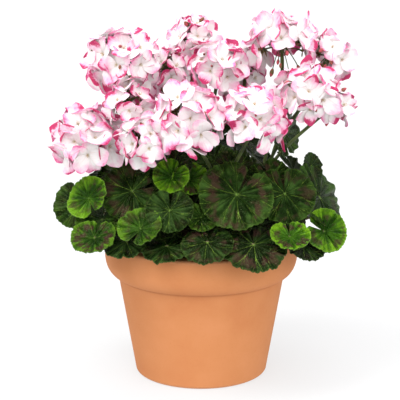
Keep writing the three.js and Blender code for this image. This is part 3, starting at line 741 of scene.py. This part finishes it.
# painted shade and highlight: darker in the valleys of the folds and lighter on their ridges
depth = plus(tree, depth, times(tree, ridge, 0.07))
old = ramp(tree, depth, [(0.34, OLD_GREEN[0]), (0.50, OLD_GREEN[1]), (0.66, OLD_GREEN[2])])
# painted shade and light: young leaves are darker in the middle of their cup and lighter towards the edge
cup_shaded_tone = plus(tree, depth, fade(tree, out, 0.3, 1.0, -0.10, 0.10))
fresh = ramp(tree, cup_shaded_tone, [(0.34, YOUNG_GREEN[0]), (0.50, YOUNG_GREEN[1]), (0.66, YOUNG_GREEN[2])])
colour = tint(tree, young, old, fresh)
# painted shade: leaves with youth below 0 are darkened towards the darkest old green
colour = tint(tree, fade(tree, young, 0, -1, 0, 0.75), colour, OLD_GREEN[0])
# the dark ring of a zonal leaf, broken at the veins and uneven at its edges
patchy = drawn_out(tree, fanned, (0.3, 1.6, 1), 2.5)
edge_noise = times(tree, minus(tree, fan, 0.5), 0.8)
ringed = plus(tree, out, edge_noise)
zone = times(tree, fade(tree, ringed, 0.42, 0.60), fade(tree, ringed, 0.94, 0.76))
zone = times(tree, zone, fade(tree, patchy, 0.44, 0.58))
between = fade(tree, off, 0.0, 0.08, 0.5, 1)
zone = times(tree, times(tree, zone, between), times(tree, zoned, 0.95))
colour = tint(tree, zone, colour, RING_BROWN)
shown = times(tree, fade(tree, fan, 0.40, 0.64, 0.08, 0.75), fade(tree, young, 0, 1, 1, 0.25))
shown = times(tree, shown, fade(tree, fine, 0.42, 0.62, 0.35, 1.2))
colour = tint(tree, times(tree, veins, shown), colour, VEIN_GREEN)
paler_edge = times(tree, fade(tree, out, 0.93, 1.0), fade(tree, young, 0, 1, 0.06, 0.28))
colour = tint(tree, paler_edge, colour, (0.24, 0.42, 0.06, 1))
centre_spot = fade(tree, out, 0.07, 0.01, 0, 0.35)
colour = tint(tree, centre_spot, colour, (0.22, 0.38, 0.08, 1))
pale = tint(tree, times(tree, veins, 0.5), UNDER_GREEN, (0.25, 0.36, 0.18, 1))
colour = tint(tree, times(tree, under, 0.85), colour, pale)
tree.links.new(colour, inputs["Base Color"])
rough = fade(tree, broad, 0.3, 0.7, 0.24, 0.38)
tree.links.new(plus(tree, rough, times(tree, under, 0.25)), inputs["Roughness"])
net = put(
    tree, "TexVoronoi", {"Vector": place, "Scale": 330.0}, feature="DISTANCE_TO_EDGE"
).outputs["Distance"]
pucker = fade(tree, net, 0.0, 0.35, 0, 0.5)
relief = minus(tree, plus(tree, pucker, fine), times(tree, veins, 1.2))
relief = plus(tree, relief, times(tree, fan, 2.2))
emboss(tree, inputs, relief, strength=0.7, distance=0.9)
blade.data.materials.append(leaf_skin)

for number, (name, foot, crown, leaves, heads) in enumerate(SHOOTS):
    parts = []
    for i, row in enumerate(leaves + inner_leaves(number)):
        points, ridge = leaf_points(row, 31 * number + 7 * i)
        parts.append(copy_of(blade, points, young=row[8], zone=row[9], ridge=ridge))
    piece = joined("leaves_" + name, parts)
    smooth(piece, 60)
    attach(piece, "root")
    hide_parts("shoot_" + name)
discard(blade)


# ---- stems and stalks -----------------------------------------------------------------------------
# The main stems are thick and a little woody low down, with a swelling and two small pointed stipules
# where each leaf stalk leaves them. Leaf and flower stalks are thin, round and slightly hairy. They
# are drawn as curves with a thickness at every point, and turned into meshes.
ROOT_RADIUS, CROWN_RADIUS, ROOT_DEPTH, STRAIGHT, BRANCHING = 5.2, 3.3, 36, 8, 14
STALK_RADIUS, STALK_DROP, LOWEST_STALK = 1.35, 28, 156
FLOWER_STALK_RADIUS = 1.9
STALK_POINTS, FLOWER_STALK_POINTS = 15, 19
STEM_GREEN = [(0.022, 0.035, 0.006, 1), (0.055, 0.082, 0.014, 1), (0.100, 0.135, 0.028, 1)]
STEM_WOOD = (0.115, 0.070, 0.036, 1)


def stem_curve(foot, crown):
    """Points along a main stem: a smooth curve through its foot, its straight base and its crown."""
    (x, y), (cx, cy, cz) = foot, crown
    through = np.array([
        (x, y, SOIL_TOP - ROOT_DEPTH + CLEARANCE),
        (x, y, SOIL_TOP - STRAIGHT),
        (x, y, SOIL_TOP + STRAIGHT),
        (x + (cx - x) * 0.42, y + (cy - y) * 0.42, SOIL_TOP + (cz - SOIL_TOP) * 0.55),
        (cx, cy, cz),
    ], float)
    through = np.vstack([2 * through[0] - through[1], through, 2 * through[-1] - through[-2]])
    points = []
    for k in range(1, 5):
        p0, p1, p2, p3 = through[k - 1 : k + 3]
        d0, d1, d2 = (math.dist(*pair) ** 0.5 for pair in ((p0, p1), (p1, p2), (p2, p3)))
        m1 = ((p1 - p0) / d0 - (p2 - p0) / (d0 + d1) + (p2 - p1) / d1) * d1
        m2 = ((p2 - p1) / d1 - (p3 - p1) / (d1 + d2) + (p3 - p2) / d2) * d1
        for t in np.linspace(0, 1, 12, endpoint=k == 4):
            cubic = (2 * p1 - 2 * p2 + m1 + m2) * t**3 + (3 * p2 - 3 * p1 - 2 * m1 - m2) * t**2
            points.append(cubic + m1 * t + p1)
    return np.array(points)


def stem_point(foot, crown, z):
    """The point of a stem at a height, or just under its top."""
    curve = stem_curve(foot, crown)
    height = min(z, crown[2] - 2)
    return np.array([np.interp(height, curve[:, 2], curve[:, axis]) for axis in range(3)])


def bezier(start, first, second, end, count):
    """Points along a curve from start to end that is drawn towards two others."""
    t = np.linspace(0, 1, count)[:, None]
    s = 1 - t
    return s**3 * start + 3 * s * s * t * first + 3 * s * t * t * second + t**3 * end


def tubes(name, runs, roundness, material):
    """Round stalks as one mesh, a closed tube for each run of points and radii in millimetres."""
    bpy.ops.object.select_all(action="DESELECT")
    bpy.ops.curve.primitive_bezier_curve_add()
    piece = bpy.context.object
    shape = piece.data
    shape.splines.clear()
    for points, radii in runs:
        line = shape.splines.new("POLY")
        line.points.add(len(points) - 1)
        rows = np.hstack([np.asarray(points) * MM, np.ones((len(points), 1))])
        line.points.foreach_set("co", rows.ravel())
        line.points.foreach_set("radius", np.broadcast_to(radii, len(points)).astype(float).copy())
    shape.dimensions = "3D"
    shape.bevel_depth = MM
    shape.bevel_resolution = roundness
    shape.use_fill_caps = True
    bpy.ops.object.convert(target="MESH")
    piece = bpy.context.object
    piece.name = name
    bpy.ops.object.mode_set(mode="EDIT")
    bpy.ops.mesh.select_all(action="SELECT")
    bpy.ops.mesh.remove_doubles(threshold=0.001 * MM)
    bpy.ops.mesh.normals_make_consistent(inside=False)
    bpy.ops.object.mode_set(mode="OBJECT")
    piece.data.materials.clear()
    piece.data.materials.append(material)
    return piece


def pointed(ball, length, width, blunt, thick):
    """A ball pressed to a flat drop that starts at the origin and narrows to its point along +X."""
    along = ball[:, 2] + 1
    narrowing = np.clip(blunt - along / 2, 0, 1)
    return np.stack([along * length, ball[:, 0] * width * narrowing, ball[:, 1] * thick], 1)


def head_frame(at, faces):
    """The middle of a flower head, the way it points and the foot of its hub."""
    axis, centre = heading(*faces), np.array(at, float)
    return centre, axis, centre - axis * HUB_HEIGHT / 2


stem_skin, tree, inputs = finish("stem_skin", 0.55, Specular_IOR_Level=0.35, Sheen_Weight=0.15)
place = put(tree, "TexCoord").outputs["Object"]
broad, fine = mottle(tree, place, 75, 600)
colour = ramp(tree, broad, [(0.3, STEM_GREEN[0]), (0.5, STEM_GREEN[1]), (0.7, STEM_GREEN[2])])
height = put(tree, "SeparateXYZ", {0: place}).outputs["Z"]
woody = times(tree, fade(tree, height, 0.205, 0.150), fade(tree, broad, 0.3, 0.6, 0.4, 1))
colour = tint(tree, woody, colour, STEM_WOOD)
tree.links.new(colour, inputs["Base Color"])
ribs = drawn_out(tree, place, (900, 900, 120), 2.0)
relief = plus(tree, ribs, times(tree, fine, 0.7))
emboss(tree, inputs, relief, strength=0.5, distance=0.5)

bpy.ops.object.select_all(action="DESELECT")
bpy.ops.mesh.primitive_uv_sphere_add(segments=8, ring_count=5, radius=MM)
stipule = bpy.context.object
stipule.data.materials.append(stem_skin)
drop = pointed(points_of(stipule), length=3.6, width=2.0, blunt=1.15, thick=0.45)

for number, (name, foot, crown, leaves, heads) in enumerate(SHOOTS):
    curve = stem_curve(foot, crown)
    radii = np.interp(curve[:, 2], (SOIL_TOP - ROOT_DEPTH, crown[2]), (ROOT_RADIUS, CROWN_RADIUS))
    stalks, parts = [], []
    for i, row in enumerate(leaves + inner_leaves(number)):
        up = heading(row[4], row[5])
        centre = np.array(row[:3], float)
        start = stem_point(foot, crown, max(row[2] - STALK_DROP, LOWEST_STALK))
        span = math.dist(centre, start)
        bow = start + ((centre - start) * 0.25) * (1, 1, 0) + (0, 0, span * 0.3)
        into = centre + (start - centre) * 0.3 - up * span * 0.15
        line = bezier(start, bow, into, centre - up * 0.6, STALK_POINTS)
        thick = STALK_RADIUS * (0.82 + row[3] / 160)
        along = np.linspace(0, 1, STALK_POINTS)
        swollen = 1 + 0.55 * np.exp(-along / 0.06) + 0.5 * np.exp((along - 1) / 0.03)
        stalks.append((line, thick * swollen))
        radii = radii * (1 + 0.17 * np.exp(-(((curve[:, 2] - start[2]) / 3.2) ** 2)))
        out = unit((line[2] - line[0]) * (1, 1, 0))
        for hand in (-1, 1):
            ahead = unit(out * 0.62 + np.array((-out[1], out[0], 0)) * hand * 0.75 + (0, 0, 0.65))
            wide = unit(np.cross((0, 0, 1), ahead))
            turned_drop = drop @ np.stack([ahead, wide, np.cross(ahead, wide)])
            parts.append(copy_of(stipule, start + turned_drop + ahead * 2.6))
    for head in heads:
        centre, axis, hub = head_frame(head[1], head[4])
        start = stem_point(foot, crown, crown[2] - BRANCHING)
        end = hub - axis * CLEARANCE
        span = math.dist(start, end)
        line = bezier(start, start + (0, 0, span * 0.35), end - axis * span * 0.35, end, FLOWER_STALK_POINTS)
        along = np.linspace(0, 1, FLOWER_STALK_POINTS)
        stalks.append((line, FLOWER_STALK_RADIUS * (1 + 0.4 * np.exp(-along / 0.05))))
    radii[-2:] *= (0.9, 0.55)
    parts.insert(0, tubes("stem", [(curve, radii)], 5, stem_skin))
    parts.insert(1, tubes("stalks", stalks, 3, stem_skin))
    piece = joined("stems_" + name, parts)
    smooth(piece, 50)
    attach(piece, "root")
    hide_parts("shoot_" + name)
discard(stipule)


# ---- petals ---------------------------------------------------------------------------------------
# A head carries nine to 20 florets of five petals, white with a pink edge and a crimson rim. One petal
# is modelled flat from a small grid, and every petal is a copy that is curled, ruffled and laid on its
# floret. Where florets or heads press against each other, petals are pushed back.
PETALS, PETAL_THICKNESS, THROAT_DEPTH = 5, 0.45, 2
LARGEST, FLORET_SHARE = 22, 0.62  # a floret's radius: at most, and as a share of its head's
LEAN = 0.7  # how far a floret may face away from its even place in the head
REACH_OVER, REACH_ASIDE = 13, 7  # how far petals pass the middle to a deeper and to a higher neighbour
SPREAD, ELBOW_ROOM = 112, 8
PETAL_WHITE = (0.89, 0.85, 0.84, 1)
PETAL_PINK = (0.87, 0.34, 0.54, 1)
PETAL_ROSE = (0.74, 0.105, 0.28, 1)
PETAL_CRIMSON = (0.42, 0.012, 0.085, 1)
THROAT_CREAM = (0.80, 0.72, 0.56, 1)
ACROSS, ALONG = 8, 6
OVERLAP = 3  # how far the petals of two heads reach in between each other
TIP_ROUND = 0.40  # radius of the round end, as a share of the petal's length
HALF_WIDTHS = [0.06, 0.12, 0.195, 0.28, 0.35, 0.395, 0.41]

bpy.ops.object.select_all(action="DESELECT")
bpy.ops.mesh.primitive_grid_add(x_subdivisions=ACROSS, y_subdivisions=ALONG, size=2)
petal = bpy.context.object
petal.name = "petal"
grid = points_of(petal) * MM
across, along = grid[:, 0] * math.pi / 2, (grid[:, 1] + 1) / 2
y = np.interp(along, np.linspace(0, 1, len(HALF_WIDTHS)), HALF_WIDTHS) * np.sin(across)
x = along * (1 - TIP_ROUND + TIP_ROUND * np.cos(across))
rim = 0.6 * x + 0.4 * along
petal_pattern = lay_pattern(petal, np.stack([y + 0.5, x], 1))
mark(petal, "rim", rim)
lay(petal, np.stack([x, y, 0 * x], 1) / MM)
if petal.data.polygons[0].normal.z < 0:
    petal.data.flip_normals()
petal.modifiers.new("thickness", "SOLIDIFY").thickness = 0.01
petal.modifiers["thickness"].offset = 0
bpy.ops.object.modifier_apply(modifier="thickness")
flat_petal = points_of(petal) * MM
petal_under = flat_petal[:, 2] < 0
mark(petal, "under", petal_under)


def petal_points(throat, out, facing, length, slope, curl, camber, twist, ruffle, phase):
    """The corners of one petal in millimetres. It rises from the throat, opens to its slope and
    curls up or back at its end, all in radians, with a bowed, twisted and ruffled width."""
    wide = np.cross(facing, out)
    steps = np.linspace(0, 1.06, 36)
    ease = np.clip((steps - 0.45) / 0.57, 0, 1)
    lean = slope + 0.9 * np.exp(-steps / 0.13) + curl * ease**2 * (3 - 2 * ease)
    go = np.concatenate([[0], np.cumsum(np.cos(lean[:-1]) * np.diff(steps))])
    rise = np.concatenate([[0], np.cumsum(np.sin(lean[:-1]) * np.diff(steps))])

    def surface(x, y):
        """The bent petal at a place of the flat one, for a petal of length 1."""
        x = x * (1 + 0.05 * x * x * np.sin(9 * y + phase))
        a, c, tilt = (np.interp(x, steps, row) for row in (go, rise, lean))
        bow = camber * y * y * x + y * np.sin(twist * x) + ruffle * x**3 * np.sin(6 * y + phase)
        a = a - np.sin(tilt) * bow
        c = c + np.cos(tilt) * bow
        return a[:, None] * out + (y * np.cos(twist * x))[:, None] * wide + c[:, None] * facing

    x, y = flat_petal[:, 0], flat_petal[:, 1]
    points = surface(x, y)
    normal = np.cross(surface(x + 1e-3, y) - points, surface(x, y + 1e-3) - points)
    normal /= np.linalg.norm(normal, axis=1)[:, None]
    points = throat + points * length
    points[petal_under] -= normal[petal_under] * PETAL_THICKNESS
    return points


def press_back(points, planes, soft):
    """Moves points that reach past border planes back to them, gently."""
    for normal, offset in planes:
        past = (offset + 1.1 - points @ normal) / soft
        points = points + normal * (soft * np.logaddexp(0, np.minimum(past, 40)))[:, None]
    return points


HEADS = [head for shoot in SHOOTS for head in shoot[4]]


def borders(head):
    """The planes past which a head's petals give way to those of the heads beside it."""
    found = []
    for other in HEADS:
        away = np.array(head[1], float) - other[1]
        apart = np.linalg.norm(away)
        if other is head or apart > head[2] + other[2] + ELBOW_ROOM:
            continue
        share = 0.5 + (head[2] ** 2 - other[2] ** 2) / (2 * apart**2)
        normal = away / apart
        found.append((normal, normal @ head[1] - apart * share - OVERLAP))
    return found


def florets_of(head, index):
    """Each floret of a head, as its throat, the way it faces, its size and a seed for its draws."""
    name, at, radius, count, faces, opening = head
    centre, axis, _ = head_frame(at, faces)
    side = heading(faces[0], faces[1] - 90)
    other = np.cross(axis, side)
    golden = math.pi * (3 - math.sqrt(5))
    size = min(LARGEST, radius * FLORET_SHARE)
    reach = radius - size * 0.42 - THROAT_DEPTH
    planes = borders(head)
    found = []
    for i in range(count):
        along = 1 - (i + 0.5) / count * (1 - math.cos(math.radians(SPREAD)))
        out, turn = math.sqrt(1 - along * along), golden * i + FULL_TURN * draw(index)
        facing = axis * along + side * out * math.cos(turn) + other * out * math.sin(turn)
        seed = index * 97 + i * 5
        if opening and facing @ heading(*opening[0]) > math.cos(math.radians(opening[1])):
            continue
        depth = 1 - 0.20 * draw(seed + 11)
        throat = centre + facing * reach * depth
        if any(normal @ throat < offset + OVERLAP for normal, offset in planes):
            continue
        lean = np.array([draw(seed + k) - 0.5 for k in (21, 22, 23)]) * LEAN
        found.append((throat, unit(facing + lean), size * (0.92 + 0.16 * draw(seed + 12)), seed))
    return found


petal_skin, tree, inputs = finish(
    "petal_skin", 0.62, Specular_IOR_Level=0.2, Subsurface_Weight=0.45, Subsurface_Scale=3 * MM
)
inputs["Subsurface Radius"].default_value = (1.0, 0.95, 0.95)
place = put(tree, "TexCoord").outputs["Object"]
spread = put(tree, "UVMap", uv_map=petal_pattern).outputs[0]
rim = put(tree, "Attribute", attribute_name="rim").outputs["Fac"]
blush = put(tree, "Attribute", attribute_name="blush").outputs["Fac"]
under = put(tree, "Attribute", attribute_name="under").outputs["Fac"]
broad, fine = mottle(tree, place, 110, 800)
streaked = put(tree, "Mapping", {"Vector": spread, "Scale": (22, 2.2, 1)}).outputs[0]
own = put(tree, "CombineXYZ", {2: times(tree, blush, 53)}).outputs[0]
shifted = put(tree, "VectorMath", {0: streaked, 1: own}).outputs[0]
streaks = put(tree, "TexNoise", {"Vector": shifted, "Scale": 1.0, "Detail": 2.0}).outputs["Fac"]
uneven = plus(tree, broad, times(tree, streaks, 0.35))
edge = plus(tree, rim, minus(tree, uneven, 0.68))
edge = plus(tree, edge, times(tree, under, 0.10))
# one side of a petal is flushed more than the other
hand = calc(tree, "SINE", times(tree, blush, 57))
beside = minus(tree, put(tree, "SeparateXYZ", {0: spread}).outputs["X"], 0.5)
edge = plus(tree, edge, times(tree, times(tree, beside, hand), 0.75))
flush = plus(tree, edge, fade(tree, blush, 0.0, 1.0, -0.10, 0.24))
pink = fade(tree, flush, 0.49, 1.06)
rose = fade(tree, flush, 0.94, 1.18, 0, 0.9)
red = fade(tree, plus(tree, edge, fade(tree, blush, 0.4, 1.0, -0.25, 0.24)), 0.92, 1.06, 0, 0.9)
colour = tint(tree, times(tree, pink, 0.85), PETAL_WHITE, PETAL_PINK)
colour = tint(tree, rose, colour, PETAL_ROSE)
colour = tint(tree, red, colour, PETAL_CRIMSON)
out = put(tree, "SeparateXYZ", {0: spread}).outputs["Y"]
lines = times(tree, fade(tree, streaks, 0.52, 0.66, 0, 0.4), fade(tree, out, 0.8, 0.2))
colour = tint(tree, lines, colour, (0.74, 0.55, 0.50, 1))
colour = tint(tree, fade(tree, out, 0.20, 0.02, 0, 0.6), colour, THROAT_CREAM)
tree.links.new(colour, inputs["Base Color"])
tree.links.new(fade(tree, fine, 0.3, 0.7, 0.55, 0.72), inputs["Roughness"])
relief = plus(tree, times(tree, streaks, 0.8), times(tree, fine, 0.3))
emboss(tree, inputs, relief, strength=0.35, distance=0.4)
petal.data.materials.append(petal_skin)

for index, head in enumerate(HEADS):
    florets = florets_of(head, index)
    centre = np.array(head[1], float)
    walls = borders(head)
    parts = []
    for throat, facing, size, seed in florets:
        # a deeper floret gives way to a neighbour that stands further out, which may reach over it
        fences = []
        for other in florets:
            if other[3] != seed:
                normal = unit(throat - other[0])
                over = math.dist(throat, centre) > math.dist(other[0], centre)
                reach = REACH_OVER if over else REACH_ASIDE
                fences.append((normal, normal @ (throat + other[0]) / 2 - reach))
        side = side_of(facing)
        for k in range(PETALS):
            mine = [draw(seed * 1.7 + k * 13 + j) for j in range(8)]
            out = spun(side, facing, 360 * draw(seed) + 360 / PETALS * k + 16 * (mine[0] - 0.5))
            slope = 0.03 + 0.60 * mine[3] ** 1.3
            curl = 1.1 * (mine[1] - 0.4) if mine[1] > 0.4 else -2.1 * (0.4 - mine[1])
            camber, twist, ruffle = 1.5 * (mine[4] - 0.35), 1.1 * (mine[6] - 0.5), 0.03 + 0.05 * mine[5]
            points = petal_points(
                throat, out, facing, size * (0.88 + 0.2 * mine[2]), slope, curl,
                camber, twist, ruffle, FULL_TURN * mine[0],
            )
            points = press_back(points, fences, 2.0)
            points = press_back(points, walls, 2.0)
            parts.append(copy_of(petal, points, blush=mine[7]))
    piece = joined("petals_" + head[0], parts)
    smooth(piece, 60)
    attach(piece, "root")
    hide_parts("head_" + head[0])
discard(petal)


# ---- calyces, pedicels and buds ---------------------------------------------------------------------
# Thin pedicels spread from a knob on the flower stalk to the florets. Each ends in a small green and
# brown calyx of five pointed sepals under the petals, with stamens in the throat, and buds that have
# yet to open hang between them.
PEDICEL_RADIUS, BUDS = 0.65, 7
SMALL_HEAD = 26  # up to this radius a head has half the buds
SEPAL_GREEN = [(0.12, 0.085, 0.016, 1), (0.21, 0.17, 0.035, 1), (0.10, 0.035, 0.012, 1)]
BUD_RED = [(0.11, 0.10, 0.03, 1), (0.22, 0.055, 0.03, 1), (0.46, 0.06, 0.09, 1)]
ANTHER = [(0.72, 0.62, 0.44, 1), (0.42, 0.27, 0.12, 1)]

small_skins = {}
for name, run, rough in (("calyx_skin", SEPAL_GREEN, 0.6), ("bud_skin", BUD_RED, 0.5)):
    skin, tree, inputs = finish(name, rough, Specular_IOR_Level=0.3, Sheen_Weight=0.1)
    place = put(tree, "TexCoord").outputs["Object"]
    broad, fine = mottle(tree, place, 260, 1500)
    tree.links.new(ramp(tree, broad, list(zip((0.36, 0.5, 0.62), run))), inputs["Base Color"])
    emboss(tree, inputs, fine, strength=0.4, distance=0.3)
    small_skins[name] = skin
skin, tree, inputs = finish("stamen_skin", 0.6)
place = put(tree, "TexCoord").outputs["Object"]
_, fine = mottle(tree, place, 260, 900)
tree.links.new(ramp(tree, fine, list(zip((0.45, 0.6), ANTHER))), inputs["Base Color"])
small_skins["stamen_skin"] = skin

bpy.ops.object.select_all(action="DESELECT")
bpy.ops.mesh.primitive_uv_sphere_add(segments=6, ring_count=4, radius=MM)
sepal = bpy.context.object
sepal.data.materials.append(small_skins["calyx_skin"])
sepal_shape = pointed(points_of(sepal), length=4.2, width=1.9, blunt=1.2, thick=0.4)

for index, head in enumerate(HEADS):
    name, at, radius, count, faces, opening = head
    centre, axis, hub = head_frame(at, faces)
    pedicels, stamens, buds, parts = [], [], [], []
    for throat, facing, size, seed in florets_of(head, index):
        base = throat - facing * THROAT_DEPTH
        span = math.dist(base, centre)
        bow = centre + (axis + facing) * 0.25 * span
        line = bezier(centre, bow, base - facing * 0.35 * span, base, 8)
        radii = PEDICEL_RADIUS * np.array([1, 1, 1, 1, 1, 1.1, 1.6, 2.3])
        pedicels.append((line, radii))
        side = side_of(facing)
        for k in range(PETALS):
            turn = 360 / PETALS * (k + 0.5) + 360 * draw(seed)
            out = spun(side, facing, turn)
            ahead = unit(out * 0.9 + facing * 0.25)
            wide = np.cross(facing, out)
            shape = sepal_shape @ np.stack([ahead, wide, np.cross(ahead, wide)])
            parts.append(copy_of(sepal, base - facing * 0.8 + shape))
            lean = facing + spun(side, facing, turn + 20) * 0.34
            height = 2.8 + 1.8 * draw(seed + k + 3)
            line = np.array([throat + lean * height * t for t in (-0.1, 0.6, 0.85, 1.0, 1.12)])
            stamens.append((line, np.array([0.24, 0.20, 0.20, 0.38, 0.18])))
    crown = [hub + axis * HUB_HEIGHT * t for t in (0, 0.25, 0.5, 0.7, 0.88, 1)]
    pedicels.append((np.array(crown), np.array([2.0, 2.6, 3.3, 3.4, 2.4, 0.6])))
    for k in range(BUDS if radius > SMALL_HEAD else BUDS // 2):
        seed = index * 53 + k * 17
        if opening:
            lean = heading(*opening[0]) + np.array([draw(seed + j) - 0.5 for j in range(3)]) * 1.3
        else:
            lean = axis * 0.4 + np.array([draw(seed + j) - 0.5 for j in range(3)]) * 2
        lean = unit(lean)
        length = radius * (0.45 + 0.3 * draw(seed + 5))
        end = centre + lean * length
        line = bezier(centre, centre + axis * length * 0.5, end - lean * 4 + (0, 0, 3), end, 7)
        pedicels.append((line, np.full(7, 0.55)))
        fall = unit(lean * 0.8 + (0, 0, -0.5))
        size = 0.75 + 0.5 * draw(seed + 6)
        line = np.array([end + fall * size * 8 * t for t in (-0.08, 0.1, 0.35, 0.6, 0.85, 1.0)])
        buds.append((line, size * np.array([0.6, 1.5, 2.1, 2.0, 1.2, 0.35])))
    parts.insert(0, tubes("pedicels", pedicels, 1, stem_skin))
    parts.append(tubes("stamens", stamens, 0, small_skins["stamen_skin"]))
    parts.append(tubes("buds", buds, 2, small_skins["bud_skin"]))
    piece = joined("calyces_" + name, parts)
    smooth(piece, 50)
    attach(piece, "root")
    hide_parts("head_" + name)
discard(sepal)
